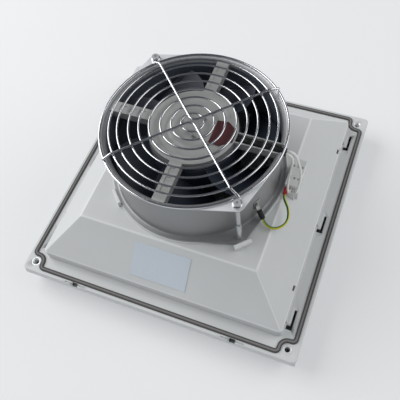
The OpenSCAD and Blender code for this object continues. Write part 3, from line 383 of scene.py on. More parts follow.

# %% [markdown]
# The casing's sheet has three tones, found from the place in metres: a painted shade and reflection
# that make the tunnel inside darker and bluer, the bare wall outside, and a painted highlight that
# makes the upper face on the flange and ears paler. It is one node of the solids, so masks tell the
# three faces apart and no material slots are needed.

# %% The casing's painted shade and highlight
TUNNEL_WALL, UPPER_FACE = (0.0705, 0.0709), (0.1246, 0.1249)
streak = casing_finish.noise(0.8, 4, 0.6, (1, 1, 6))
casing_x, casing_y, casing_level = casing_finish.split()
from_axis = (casing_x * casing_x + casing_y * casing_y).root()
# Painted shade and reflection: the tunnel inside is darker and bluer
painted_tunnel_shade = casing_finish.tint(streak, (0.18, 0.21, 0.26), 0.1)
wall_tone = casing_finish.tint(streak, CASING_GREY, 0.1)
# Painted highlight: the upper face of the flange and ears is paler
painted_face_highlight = casing_finish.tint(streak, (0.90, 0.91, 0.93), 0.05)
wall_with_painted_shade = casing_finish.mix(from_axis.step(*TUNNEL_WALL), painted_tunnel_shade, wall_tone)
casing_finish.set(Base_Color=casing_finish.mix(casing_level.step(*UPPER_FACE), wall_with_painted_shade, painted_face_highlight))
print("casing toned")

# %% [markdown]
# Foam, fleece, card and rubber have coarse pores or fibres. Hairs could stand for the fibres, but at
# this size noise in colour and relief looks alike and is much lighter. The gasket's foam is paler
# along its middle than at its two edges. Its piece carries the distance from the middle, from 0 to 1.

# %% Soft surfaces and the bare label
FOAM_PORES, FOAM_MIDDLE = 0.6, (0.2, 0.55)


def soft(name, colour, roughness, size, depth, spread=0.2, stretch=(1, 1, 1)):
    """Foam, card or rubber: coarse pores or fibres in colour and relief."""
    finish = Finish(name, Roughness=roughness, Specular_IOR_Level=0.3)
    pores = finish.noise(size, 4, 0.7, stretch)
    finish.set(Base_Color=finish.tint(pores, colour, spread))
    return finish.relief(pores, depth)


foam_finish = soft("gasket_foam", (0.095, 0.088, 0.085), 0.85, FOAM_PORES, 0.12, 0.35)
off_foam_middle = foam_finish.carried().step(*FOAM_MIDDLE)
pores = foam_finish.noise(FOAM_PORES, 4, 0.7)
crown_tone = foam_finish.tint(pores, (0.19, 0.185, 0.185), 0.2)
edge_tone = foam_finish.tint(pores, (0.075, 0.07, 0.07), 0.3)
foam_finish.set(Base_Color=foam_finish.mix(off_foam_middle, crown_tone, edge_tone))
fleece_finish = soft("filter_fleece", (0.74, 0.75, 0.74), 0.95, 0.9, 0.4, 0.12)
fleece_finish.set(Sheen_Weight=0.3, Sheen_Roughness=0.5)
card_finish = soft("maroon_card", (0.07, 0.018, 0.022), 0.7, 0.5, 0.03, 0.3, (3, 1, 1))
sleeve_finish = soft("black_sleeve", (0.012, 0.012, 0.013), 0.45, 0.8, 0.02, 0.3)
label_finish = moulded("bare_film", (0.58, 0.64, 0.70), 0.28, 0.004, 0.1, 0.03)
print("soft surfaces and the label made")

# %% [markdown]
# ## Dressing the nodes
# Every node of the frame keeps its shape unless a finer piece replaces it, and takes the finish of
# the real piece. Assigning to the material slots leaves the meshes as they are.

# %% Give each node its finish
dress = {
    "housing": housing_finish, "frame_gasket": foam_finish, "corner_bushes": plated_finish,
    "louvre_cover": cover_finish, "filter_mat": fleece_finish, "mat_grid": grid_finish,
    "rating_plate": label_finish, "fan_casing": casing_finish, "motor_spider": spider_finish,
    "plate_rivets": zinc_finish, "bearing_tube": alloy_finish, "bearing_outer_rings": bearing_finish,
    "bearing_balls": bearing_finish, "bearing_inner_rings": bearing_finish, "motor_shaft": bearing_finish,
    "shaft_circlip": spring_finish, "stator_core": core_finish, "stator_windings": copper_finish,
    "rotor_ring": core_finish, "rotor_cup": rotor_finish, "impeller": blade_finish,
    "insulation_paper": card_finish, "lead_sleeve": sleeve_finish, "lead_wire_outer": white_lead_finish,
    "lead_wire_inner": white_lead_finish, "guard_rings": chrome_finish, "guard_spokes": chrome_finish,
    "guard_screws": screw_finish, "spacer_sleeves": chrome_finish,
    "terminal_block": block_finish, "terminal_clamps": brass_finish, "terminal_screws": plated_finish,
    "earth_ferrule": red_finish, "earth_wire": white_lead_finish, "earth_sleeve": sleeve_finish,
    "earth_tab": zinc_finish, "earth_rivet": zinc_finish,
}
for node, finish in dress.items():
    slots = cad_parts[node].material_slots
    for holder in slots:
        holder.material = finish.material
    if not slots:
        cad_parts[node].data.materials.append(finish.material)
print("dressed", len(dress), "nodes; left", sorted(set(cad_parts) - set(dress)))

# %% [markdown]
# ## Surfaces from grids
# Every new piece is a grid of points: rows run along one parameter and columns along the other. It
# could be pushed and pulled from a cube, but a grid keeps exact sizes. The faces between the points
# are index sums on whole arrays. A closed surface should point outwards, and the sign of its volume
# tells whether it does.

# %% Grid to mesh
def skin(grid, round_rows=False, capped=False):
    """Points and faces of a grid [row, column] whose columns join up; rows may too, or get end caps."""
    rows, columns = grid.shape[:2]
    index = np.arange(rows * columns).reshape(rows, columns)
    if round_rows:
        index = np.vstack([index, index[:1]])
    index = np.hstack([index, index[:, :1]])
    quads = np.stack([index[:-1, :-1], index[1:, :-1], index[1:, 1:], index[:-1, 1:]], -1).reshape(-1, 4)
    points = grid.reshape(-1, 3)
    if not capped:
        return points, [quads]
    middles = np.vstack([grid[0].mean(0), grid[-1].mean(0)])
    first, last = len(points), len(points) + 1
    ring = index[0]
    end = index[-1]
    lower = np.stack([ring[:-1], ring[1:], np.full(len(ring) - 1, first)], -1)
    upper = np.stack([end[1:], end[:-1], np.full(len(end) - 1, last)], -1)
    return np.vstack([points, middles]), [quads, lower, upper]


def volume(points, faces):
    """Six times the signed volume: the sum over triangles of a . (b x c)."""
    total = 0.0
    for block in faces:
        for k in range(1, block.shape[1] - 1):
            a, b, c = points[block[:, 0]], points[block[:, k]], points[block[:, k + 1]]
            total += float(np.einsum("ij,ij->", a, np.cross(b, c)))
    return total


def outward(solid):
    """The same solid with its faces pointing out."""
    points, faces = solid
    if volume(points, faces) < 0:
        faces = [block[:, ::-1] for block in faces]
    return points, faces


def turned(solid, angle):
    """A solid turned about the fan's axis by an angle in degrees."""
    c, s = math.cos(math.radians(angle)), math.sin(math.radians(angle))
    return solid[0] @ np.array([[c, s, 0], [-s, c, 0], [0, 0, 1]]), solid[1]


def piece(name, solids, finish, nodes=(), body="housing", smooth=35, paint=None):
    """One object from closed solids in millimetres. Edges over smooth degrees stay sharp."""
    points, faces, count = [], [], 0
    for solid in solids:
        solid = outward(solid)
        points.append(solid[0])
        faces += [(block + count).tolist() for block in solid[1]]
        count += len(solid[0])
    mesh = bpy.data.meshes.new(name)
    mesh.from_pydata(np.vstack(points) * MM, [], [face for block in faces for face in block])
    if paint is not None:
        layer = mesh.attributes.new("around", "FLOAT", "POINT")
        layer.data.foreach_set("value", np.asarray(paint, dtype=np.float32))
    mesh.shade_smooth()
    mesh.set_sharp_from_angle(angle=math.radians(smooth))
    mesh.materials.append(finish.material)
    obj = bpy.data.objects.new(name, mesh)
    bpy.context.scene.collection.objects.link(obj)
    if nodes:
        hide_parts(*nodes)
    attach(obj, body)
    print(name, len(mesh.vertices), "points", len(mesh.polygons), "faces")
    return obj

# %% [markdown]
# ## Wires
# A wire is a circle carried along a path. The path runs smoothly through a few chosen points, as a
# Catmull-Rom curve does, and the circle stands square to it. One fixed hint direction, made square
# to the path at each point, keeps the circle from twisting, so stripes stay on their side. A curve
# with a bevel would look alike, but a cord's length and path have to be told as numbers.

# %% Path and tube
def smooth_path(route, steps):
    """Catmull-Rom: between two points a cubic whose slopes come from the neighbours on each side."""
    route = np.array(route, float)
    a, b = np.vstack([route[:1], route[:-2]]), route[:-1]
    c, d = route[1:], np.vstack([route[2:], route[-1:]])
    t = (np.arange(steps) / steps)[None, :, None]
    a, b, c, d = (points[:, None] for points in (a, b, c, d))
    curve = 2 * b + (c - a) * t + (2 * a - 5 * b + 4 * c - d) * t**2 + (3 * b - a - 3 * c + d) * t**3
    return np.vstack([curve.reshape(-1, 3) / 2, route[-1:]])


def along(path, closed=False):
    """Unit directions of a path, from the difference of each point's neighbours."""
    if closed:
        step = np.roll(path, -1, 0) - np.roll(path, 1, 0)
    else:
        step = np.gradient(path, axis=0)
    return step / np.linalg.norm(step, axis=1)[:, None]


def tube(path, radius, hint, sides=14, closed=False, start=None, end=None):
    """Grid of circles: path + radius * (n cos v + b sin v), with n the hint made square to the path."""
    ways = along(path, closed)
    if start is not None:
        ways[0] = np.array(start) / np.linalg.norm(start)
    if end is not None:
        ways[-1] = np.array(end) / np.linalg.norm(end)
    hint = np.broadcast_to(np.asarray(hint, float), path.shape)
    n = hint - np.sum(hint * ways, 1)[:, None] * ways
    n /= np.linalg.norm(n, axis=1)[:, None]
    b = np.cross(ways, n)
    v = np.arange(sides) / sides * 2 * np.pi
    radius = np.broadcast_to(radius, (len(path),))[:, None, None]
    circle = n[:, None] * np.cos(v)[None, :, None] + b[:, None] * np.sin(v)[None, :, None]
    return path[:, None] + radius * circle

# %% [markdown]
# ## The leads and the earth wire
# Two white leads leave the black sleeve, bow outwards and curl into the terminal block. The earth
# wire loops from its red ferrule to the sleeve on the casing. Both ends of all three go back into
# the object. The points are those of the part's own routes, so the wires lie where their solids are.
# They are too short and stiff to hang, so no simulation is needed.

# %% Routes of the wires
outer_route = [
    [77, 1.4, 121.5], [80, 1.5, 121.3], [83, 1.5, 119.6], [84.8, 1.5, 116.5], [86.4, 1.5, 111.5],
    [88, 1.3, 105.5], [89.4, 0.6, 99.5], [90.2, -0.8, 93.5], [90.3, -3.6, 88], [89.9, -6.6, 83.8],
    [89.2, -7.8, 80.4], [88.4, -6.6, 77.6], [87.8, -4, 76.2], [87.6, -1.4, 76], [87.6, 1, 76],
]
inner_route = [
    [77, -1.4, 121.5], [79.4, -1.5, 121.1], [81.4, -1.5, 119.5], [82.5, -1.5, 116.6], [82.6, -1.2, 111.5],
    [82.2, -0.8, 105.5], [81.8, -1, 99.5], [81.5, -2.6, 93.8], [81.6, -5.6, 88.4], [82.1, -7.9, 83.8],
    [82.8, -8.4, 80.4], [83.5, -6.8, 77.6], [83.9, -4, 76.2], [84, -1.4, 76], [84, 1, 76],
]
earth_route = [
    [80.4, -10, 76], [81.3, -13.4, 75.6], [83.6, -16.4, 74.6], [86.2, -19.6, 73], [88, -23.4, 71.4],
    [88.9, -28, 70.3], [88.3, -32.4, 70.1], [86.2, -36.4, 70.5], [82.9, -39.4, 70.9], [78.4, -40.6, 71.1],
    [74.4, -39.3, 71.4], [71.6, -37.4, 72.4], [70, -35.97, 75],
]
print("route points", len(outer_route), len(inner_route), len(earth_route))

# %% [markdown]
# Earth wire is extruded in two colours, green on one half of its round and yellow on the other. The
# wire carries how far round each point lies, from 0 to 1, and the colour changes halfway.

# %% Green and yellow
HALF_ROUND = (0.49, 0.51)
earth_finish = Finish("green_and_yellow", Specular_IOR_Level=0.45)
stripe = earth_finish.carried().step(*HALF_ROUND)
ripple = earth_finish.noise(0.8, 3)
earth_finish.set(Base_Color=earth_finish.mix(stripe, (0.035, 0.16, 0.03), (0.55, 0.52, 0.03)))
earth_finish.set(Roughness=0.36 + (ripple - 0.5) * 0.12)
earth_finish.relief(ripple, 0.02)
print("earth finish made")

# %% [markdown]
# A wire is laid as a capped tube with its ends held square to where they go in.

# %% Lay the wires
LEAD_R, EARTH_R, WIRE_SIDES, WIRE_STEPS = 0.9, 1.1, 16, 6


def wire(name, route, radius, hint, start, end, finish):
    """A lead as a capped tube on its smooth path, whose ends go back into the object."""
    path = smooth_path(route, WIRE_STEPS)
    grid = tube(path, radius, hint, WIRE_SIDES, start=start, end=end)
    around = np.tile(np.arange(WIRE_SIDES) / WIRE_SIDES, len(path)).tolist() + [0.0, 0.0]
    obj = piece(name, [skin(grid, capped=True)], finish, [name], smooth=60, paint=around)


lead_hint = (1, -1, 1)
earth_way = (-0.445, 0.229, 0.866)
for name, route in (("lead_wire_outer", outer_route), ("lead_wire_inner", inner_route)):
    wire(name, route, LEAD_R, lead_hint, (1, 0, 0), (0, 1, 0), white_lead_finish)
wire("earth_wire", earth_route, EARTH_R, (0, 0, 1), (0, -1, 0), earth_way, earth_finish)

# %% [markdown]
# ## The moulded housing
# The real housing is one injection moulding: a square frame, a skirt, four slopes and a flat top
# with a round opening. Its folds are softly rounded, as a mould's cavity is. Here it is one closed
# surface, r(angle, level): each level is a loop round the middle, either a square with rounded
# corners, a circle or the gasket's line, and the loops run from the rim over the top and back
# underneath. Bevels on a box would round the folds too, but not with a radius of its own for each
# fold. Slots, holes and notches are then cut out, as the mould's cores would leave them.

# %% Sizes of the housing, in millimetres
FRAME, RIM_WALL, BACK, PLATE, RIM = 127.5, 2.5, 25.0, 22.0, 19.0
SKIRT, WALL, KNEE, FLAT, FLAT_HALF = 110.5, 2.5, 36.5, 68.0, 79.0
SEAT, SEAT_R, OPENING = 70.0, 77.0, 71.0
BUSH, GASKET_HALF, GASKET_TURN, GASKET_BEND = 118.0, 122.6, 3.0, 6.9
GASKET_WIDE, GROOVE = 3.8, 1.5
INNER, INNER_KNEE, INNER_FLAT = SKIRT - WALL, KNEE - WALL * (math.sqrt(2) - 1), FLAT - WALL
INNER_FLAT_HALF = INNER + INNER_KNEE - INNER_FLAT
EDGE, KNEE_BEND, TOP_BEND, FOOT_BEND = 0.8, 2.6, 3.2, 0.9
# Chamfers of sharp edges
BREAK, MOUTH_BREAK = 0.3, 0.5
# How far past a bend the next loop lies, and about the cosine of 45 degrees
PAST, PAST_BROW, DIAGONAL = 0.4, 1.4, 0.71
print("inner flat half", round(INNER_FLAT_HALF, 2))

# %% [markdown]
# A loop is a distance from the middle for each column's angle. The columns stand closer together
# towards the corners, where the rounds are small. The four quarters are alike, so each angle is
# folded back into the first half quarter before a distance is worked out.

# %% Loops round the middle
octant = np.concatenate([
    np.linspace(0, 40, 11)[:-1], np.linspace(40, 43.9, 10)[:-1],
    np.linspace(43.9, 44.5, 5)[:-1], np.linspace(44.5, 45, 7)[:-1],
])
quadrant = np.concatenate([octant, [45], 90 - octant[:0:-1]])
angles = np.radians(np.concatenate([quadrant + 90 * k for k in range(4)]))
folded = np.abs((angles + np.pi / 4) % (np.pi / 2) - np.pi / 4)


def square_loop(half, corner):
    """Distance to a square's side, half / cos a, and at its corner the far crossing with a circle."""
    reach = half - corner
    straight = half / np.cos(folded)
    bend = reach * (np.cos(folded) + np.sin(folded))
    room = corner**2 - reach**2 * (np.sin(folded) - np.cos(folded)) ** 2
    return np.where(folded < math.atan2(reach, half), straight, bend + np.sqrt(np.maximum(room, 0)))


def arc(x, y, radius, start, end, steps):
    """Points (x + r cos a, y + r sin a) for angles in degrees from start to end."""
    a = np.radians(np.linspace(start, end, steps + 1))
    return np.stack([x + radius * np.cos(a), y + radius * np.sin(a)], -1)


def gasket_loop(shift):
    """The gasket's line: straight along the sides, and round the inside of each corner bush."""
    turn_x, turn_y = GASKET_HALF - GASKET_TURN, BUSH - GASKET_BEND - GASKET_TURN
    line = np.vstack([
        arc(turn_x, turn_y, GASKET_TURN + shift, 0, 90, 12),
        arc(BUSH, BUSH, GASKET_BEND - shift, 270, 225, 12),
    ])
    start = math.atan2(line[0, 1], line[0, 0])
    bent = np.interp(folded, np.arctan2(line[:, 1], line[:, 0]), np.hypot(line[:, 0], line[:, 1]))
    return np.where(folded < start, (GASKET_HALF + shift) / np.cos(folded), bent)


print("columns", len(angles))

# %% [markdown]
# The loops are added from the rim's lower edge outwards and up, over the groove, the skirt, the
# slopes and the flat top, down through the round opening and back inside. A bend is an arc of
# loops, and one more loop a little past each bend keeps the face beyond it flat.

# %% Levels of the housing, from the rim over the top and back
knee_tangent, top_tangent = KNEE_BEND * math.tan(math.pi / 8), TOP_BEND * math.tan(math.pi / 8)
levels = []


def squares(points, corner):
    """Adds a square loop for each (half width, level); the corner radius goes between two values."""
    for (half, z), c in zip(points, np.linspace(corner[0], corner[-1], len(points))):
        levels.append((square_loop(half, c), z))


squares([(FRAME - BREAK, RIM), (FRAME, RIM + BREAK), (FRAME, BACK - EDGE - PAST)], [4])
squares(arc(FRAME - EDGE, BACK - EDGE, EDGE, 0, 90, 5), [4, 3.6])
squares([(FRAME - EDGE - PAST, BACK)], [3.4])
for side, depth in ((0.5, 0), (0.5, GROOVE), (-0.5, GROOVE), (-0.5, 0)):
    levels.append((gasket_loop(side * GASKET_WIDE), BACK - depth))
squares([(SKIRT + FOOT_BEND + PAST, BACK)], [5])
squares(arc(SKIRT + FOOT_BEND, BACK + FOOT_BEND, FOOT_BEND, 270, 180, 4), [4.8, 4])
squares([(SKIRT, BACK + FOOT_BEND + PAST), (SKIRT, KNEE - knee_tangent - PAST)], [4])
squares(arc(SKIRT - KNEE_BEND, KNEE - knee_tangent, KNEE_BEND, 0, 45, 6), [4, 3.2])
lower = (SKIRT - knee_tangent * DIAGONAL - PAST, KNEE + knee_tangent * DIAGONAL + PAST)
upper = (FLAT_HALF + PAST_BROW, FLAT - PAST_BROW)
squares([lower, ((lower[0] + upper[0]) / 2, (lower[1] + upper[1]) / 2), upper], [3, 1.6])
squares(arc(FLAT_HALF - top_tangent, FLAT - TOP_BEND, TOP_BEND, 45, 90, 6), [1.6, 2])
round_loop = np.ones(len(angles))
for radius, z in (
    (SEAT_R + BREAK, FLAT), (SEAT_R, FLAT + BREAK), (SEAT_R, SEAT - BREAK), (SEAT_R - BREAK, SEAT),
    (OPENING + MOUTH_BREAK, SEAT), (OPENING, SEAT - MOUTH_BREAK), (OPENING, INNER_FLAT),
):
    levels.append((radius * round_loop, z))
squares([(INNER_FLAT_HALF, INNER_FLAT), (INNER, INNER_KNEE), (INNER, RIM)], [1.5])
squares([(SKIRT, RIM), (SKIRT, PLATE)], [1.5])
rim_inside = FRAME - RIM_WALL
squares([(rim_inside, PLATE), (rim_inside, RIM + BREAK), (rim_inside + BREAK, RIM)], [2.5])
radii = np.array([radius for radius, z in levels])
heights = np.array([z for radius, z in levels])[:, None]
shell_grid = np.stack([radii * np.cos(angles), radii * np.sin(angles), heights + 0 * radii], -1)
print("levels", len(levels), "points", shell_grid.size // 3)

# %% [markdown]
# The cores and most of what stands on the shell are simple closed solids: boxes, upright cylinders,
# outlines drawn along an axis and sections turned round the fan's axis. A core is taken away from
# the shell, and reaches past the faces that it cuts. An exact Boolean does it, because a slot across
# a fold would otherwise need its own loops in the grid.

# %% Blocks, prisms and rods
def prism(low, high):
    """A solid between two like rings of points, with a flat end at each."""
    low, high = np.asarray(low, float), np.asarray(high, float)
    count = len(low)
    k = np.arange(count)
    n = (k + 1) % count
    sides = np.stack([k, n, n + count, k + count], -1)
    return np.vstack([low, high]), [sides, k[None, ::-1], (k + count)[None]]


def block(x0, x1, y0, y1, z0, z1):
    """A box between two values on each axis."""
    ring = [(x0, y0), (x1, y0), (x1, y1), (x0, y1)]
    return prism([(x, y, z0) for x, y in ring], [(x, y, z1) for x, y in ring])


def post(x, y, radius, low, high, sides=40):
    """An upright cylinder."""
    ring = arc(x, y, radius, 0, 360, sides)[:-1]
    return prism(np.insert(ring, 2, low, 1), np.insert(ring, 2, high, 1))


def bar(outline, low, high):
    """An outline in (x, z) drawn along Y from low to high."""
    outline = np.asarray(outline, float)
    return prism(np.insert(outline, 1, low, 1), np.insert(outline, 1, high, 1))


def revolved(section, steps=120):
    """A closed section in (radius, level) turned round the fan's axis."""
    section = np.asarray(section, float)
    a = np.radians(np.arange(steps) * 360 / steps)[:, None]
    grid = np.stack([section[:, 0] * np.cos(a), section[:, 0] * np.sin(a), section[:, 1] + 0 * a], -1)
    return skin(grid, round_rows=True)


def mirrored(solid):
    """A solid mirrored across the plane x = 0; outward() turns its faces right again."""
    return solid[0] * [-1, 1, 1], solid[1]


# The signs of the two sides
BOTH = (-1, 1)


def corners(make):
    """The solids that make(x sign, y sign) gives for the four corners."""
    return [make(x, y) for x in BOTH for y in BOTH]


def cut_away(obj, solids):
    """Takes solids away from an object's mesh with one exact Boolean."""
    tool = piece(obj.name + "_cores", solids, housing_finish)
    modifier = obj.modifiers.new("cores", "BOOLEAN")
    modifier.operation = "DIFFERENCE"
    modifier.solver = "EXACT"
    modifier.use_self = True
    modifier.object = tool
    done = bpy.data.meshes.new_from_object(obj.evaluated_get(bpy.context.evaluated_depsgraph_get()))
    obj.modifiers.remove(modifier)
    bpy.data.objects.remove(tool)
    obj.data = done
    print(obj.name, "after its cuts", len(done.polygons), "faces")

# %% [markdown]
# The cores leave the L-shaped slots round the catches, the holes of the bushes and guard screws, a
# small window at each end of the two sides with catches, and the two latch notches in the rim, each
# with a shallow slot on either side.

# %% Cores: the slots, holes, notches and windows
CATCH_Y, SLOT, SLOT_WIDE, SLOT_FOOT, REACH = 93.5, 18.0, 2.1, 3.8, 1.5
EAR_CIRCLE, EAR_HOLE, EAR_TIP, BUSH_HOLE, CUT = 81.0, 2.25, 5.5, 4.05, 1
WINDOW_Y, WINDOW_HALF, WINDOW_DEEP = 71.5, 2.5, 5
LATCH_X, NOTCH_HALF, NOTCH_DEEP = 73.7, 2.7, 2.8
SIDE_SLOT_START, SIDE_SLOT_END, SIDE_SLOT_OUT, SIDE_SLOT_IN = 2.9, 10, 0.85, 1.65
ear = EAR_CIRCLE / math.sqrt(2)
slot_x = SKIRT + WALL + REACH + SLOT_WIDE


def window(x, y):
    """A small opening through the knee, on the side and end that the signs x and y say."""
    wall_x, middle = x * SKIRT, y * WINDOW_Y
    return block(
        wall_x - WINDOW_DEEP, wall_x + WINDOW_DEEP, middle - WINDOW_HALF, middle + WINDOW_HALF,
        KNEE, KNEE + WINDOW_HALF,
    )


cores = corners(lambda x, y: post(x * BUSH, y * BUSH, BUSH_HOLE, RIM - CUT, BACK + CUT))
cores += [post(side * ear, -side * ear, EAR_HOLE, INNER_FLAT - CUT, SEAT + CUT) for side in BOTH]
cores += corners(window)
for middle in (-CATCH_Y, 0, CATCH_Y):
    y0, y1 = middle - SLOT / 2, middle + SLOT / 2
    foot_y = y0 + SLOT_FOOT
    plan = [
        (slot_x - SLOT_WIDE, foot_y), (slot_x - SLOT_WIDE, y1), (slot_x, y1), (slot_x, y0),
        (SKIRT + FOOT_BEND, y0), (SKIRT + FOOT_BEND, foot_y),
    ]
    slot = prism([(x, y, RIM + CUT) for x, y in plan], [(x, y, BACK + CUT) for x, y in plan])
    cores += [slot, mirrored(slot)]
notch_y = (-FRAME - CUT, -FRAME + NOTCH_DEEP)
side_slot_y = (-FRAME + SIDE_SLOT_OUT, -FRAME + SIDE_SLOT_IN)
for x in (-LATCH_X, LATCH_X):
    cores.append(block(x - NOTCH_HALF, x + NOTCH_HALF, *notch_y, RIM - CUT, BACK + CUT))
    for x0, x1 in ((x - SIDE_SLOT_END, x - SIDE_SLOT_START), (x + SIDE_SLOT_START, x + SIDE_SLOT_END)):
        cores.append(block(x0, x1, *side_slot_y, BACK - GROOVE, BACK + CUT))
shell = piece("housing_shell", [skin(shell_grid, round_rows=True)], housing_finish)
cut_away(shell, cores)

# %% [markdown]
# The same mould also forms the catches on the skirt, the hooks that hold the fan, the pads under its
# ears, the post of the terminal block and the lugs of the hinge. They are closed solids set a little
# into the shell, so that they grow out of it without a gap. A union would join the meshes, but the
# joint doesn't show, and separate solids keep their faces flat and even.

# %% Catches, hooks and pads
# SUNK says how far the solids reach into the shell
SUNK, FLANGE, PAD_LIP = 1, 76.0, 1
CATCH_FOOT, CATCH_TIP = 27.6, 27.9
CLIP_LONG, CLIP_THICK, CLIP_NOSE, CLIP_GAP, CLIP_ROUND = 15.0, 2.5, 1.5, 0.3, 0.4
CLIP_FOOT, CLIP_TOP, NOSE_Z, NOSE_RISE, NOSE_BREAK = 66, 74.0, 71.6, 0.2, 0.1


def catch(middle):
    """A wedge that snaps behind the panel: it stands out at its lower end and runs out upwards."""
    wedge = [
        (SKIRT - SUNK, CATCH_FOOT), (SKIRT + REACH - BREAK, CATCH_FOOT), (SKIRT + REACH, CATCH_TIP),
        (SKIRT, KNEE - WALL), (SKIRT - SUNK, KNEE - WALL),
    ]
    return bar(wedge, middle - SLOT / 2 + SLOT_FOOT, middle + SLOT / 2 - SLOT_FOOT)


def clip(radius, angle):
    """A hook over the fan's sheet: an upright wall with a nose that points inwards."""
    outside, nose = radius + CLIP_THICK, radius - CLIP_NOSE
    hook = [
        (radius, CLIP_FOOT), (outside, CLIP_FOOT), (outside, CLIP_TOP - CLIP_ROUND),
        (outside - CLIP_ROUND, CLIP_TOP), (radius, CLIP_TOP),
        (nose, NOSE_Z + NOSE_RISE), (nose + NOSE_BREAK, NOSE_Z), (radius, NOSE_Z),
    ]
    return turned(bar(hook, -CLIP_LONG / 2, CLIP_LONG / 2), angle)


grown = [catch(middle) for middle in (-CATCH_Y, 0, CATCH_Y)]
grown += [mirrored(solid) for solid in grown]
for angle in (-45, 135):
    grown.append(clip(EAR_CIRCLE + EAR_TIP + CLIP_GAP, angle))
    grown.append(clip(FLANGE + CLIP_GAP, angle + 90))
grown += [post(side * ear, -side * ear, EAR_TIP + PAD_LIP, FLAT - SUNK, SEAT) for side in BOTH]
print("catches, hooks and pads", len(grown))

# %% [markdown]
# The cover hangs on two lugs with a round lower end, under the frame's side opposite the label. Each
# could be a cylinder and a box. One outline holds both here, so there is no seam between them.

# %% Hinge lugs
# LAP says how far lugs and collars reach into the plate
HINGE_X, HINGE_Y, HINGE_Z, LUG_WIDE, LUG_R = 80.0, 124.0, 14.3, 6.0, 2.6
LAP = 0.2


def lug(x):
    """A hinge lug: a block under the plate with a round lower end, drawn along X."""
    lug_top = [(HINGE_Y + LUG_R, PLATE + LAP), (HINGE_Y - LUG_R, PLATE + LAP)]
    outline = np.vstack([arc(HINGE_Y, HINGE_Z, LUG_R, 180, 360, 12), lug_top])
    return prism(np.insert(outline, 0, x - LUG_WIDE / 2, 1), np.insert(outline, 0, x + LUG_WIDE / 2, 1))


grown += [lug(x) for x in (-HINGE_X, HINGE_X)]
print("with lugs", len(grown))

# %% [markdown]
# The terminal block sits on a narrow post beside the fan, between two low stops that keep it from
# sliding off. One carved block would look the same, but four boxes are easier to change.

# %% The terminal block's post
BLOCK_X, BLOCK_Y, BLOCK_WIDE, BLOCK_LONG, BLOCK_FOOT = 78.4, -3.0, 11.2, 27.0, 54.0
STOP_WIDE, STOP_THICK, STOP_GAP, STOP_HIGH = 6, 1.2, 0.1, 2.5
POST_IN_X, POST_IN_Y, RIB_OUT, RIB_DOWN = 0.1, 2, 0.6, 0.02
post_x = (BLOCK_X + POST_IN_X, BLOCK_X + BLOCK_WIDE - POST_IN_X)
post_y = (BLOCK_Y + POST_IN_Y, BLOCK_Y + BLOCK_LONG - POST_IN_Y)
grown.append(block(*post_x, *post_y, BLOCK_FOOT, SEAT))
stop_x = BLOCK_X + (BLOCK_WIDE - STOP_WIDE) / 2
for y in (BLOCK_Y - STOP_THICK - STOP_GAP, BLOCK_Y + BLOCK_LONG + STOP_GAP):
    grown.append(block(stop_x, stop_x + STOP_WIDE, y, y + STOP_THICK, BLOCK_FOOT, SEAT + STOP_HIGH))
rib_y = (BLOCK_Y - RIB_OUT, BLOCK_Y + BLOCK_LONG + RIB_OUT)
grown.append(block(stop_x, stop_x + STOP_WIDE, *rib_y, BLOCK_FOOT, SEAT - RIB_DOWN))
print("with the post", len(grown))

# %% [markdown]
# Each corner bush stands in a collar under the plate. The collar is a four-cornered section turned
# round an axis and moved to its corner. A tube primitive would do, but this function also makes the
# impeller's hub.

# %% Collars, and the details as one piece
COLLAR_R, COLLAR_STEPS = 5.8, 36


def collar(x, y):
    """The boss round a corner bush, under the plate: a ring with a four-cornered section."""
    collar_top = PLATE + LAP
    ring, faces = revolved(
        [(BUSH_HOLE, RIM), (COLLAR_R, RIM), (COLLAR_R, collar_top), (BUSH_HOLE, collar_top)], COLLAR_STEPS,
    )
    return ring + [x * BUSH, y * BUSH, 0], faces


grown += corners(collar)
details = piece("housing_details", grown, housing_finish)
pad_holes = [post(side * ear, -side * ear, EAR_HOLE, FLAT - SUNK - CUT, SEAT + CUT) for side in BOTH]
cut_away(details, pad_holes)
for obj in (shell, details):
    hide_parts("housing")
    smoothing = obj.modifiers.new("even_flats", "WEIGHTED_NORMAL")
    smoothing.keep_sharp = True

# %% [markdown]
# ## The gasket
# A strip of dark foam is laid into the groove and turns in round each corner bush. Its section is
# carried round the gasket's own line. It is slightly crowned, with lengthwise ripples of a few
# hundredths of a millimetre. Each point carries how far it lies from the strip's middle line. A
# curve could carry the section too, but the housing's own loops make it fit its groove exactly.

# %% Foam strip
FOAM_TOP, CROWN, RIPPLE, RIPPLE_TURNS, FOAM_EASE = 1.2, 0.28, 0.05, 12, 0.02
across = np.linspace(-1, 1, 13)
crown = BACK + FOAM_TOP - CROWN * across**4 - RIPPLE * np.cos(across * RIPPLE_TURNS)
half_wide = GASKET_WIDE / 2 - FOAM_EASE
shifts = np.concatenate([[-half_wide], across * half_wide, [half_wide]])
tops = np.concatenate([[BACK - GROOVE], crown, [BACK - GROOVE]])
loops = np.array([gasket_loop(shift) for shift in shifts])
foam_grid = np.stack([loops * np.cos(angles), loops * np.sin(angles), tops[:, None] + 0 * loops], -1)
off_middle = np.repeat(np.abs(np.concatenate([[1], across, [1]])), len(angles))
piece(
    "gasket_strip", [skin(foam_grid, round_rows=True)], foam_finish, ["frame_gasket"],
    smooth=50, paint=off_middle,
)

# %% [markdown]
# ## The finger guard
# Bright wire is bent into rings and resistance-welded to two long spokes. Each spoke is bent in a V,
# and the two stand back to back over the motor. A spoke starts on the outer ring, runs across the
# guard, dips round the outer ring and ends in an eye under a screw. The rings are exact circles. A
# spoke's bends are first given as corners and arcs, then walked in small steps and averaged over a
# short window, which rounds them as a bending tool does. A smooth curve through the same points
# would bulge where the real wire is straight.

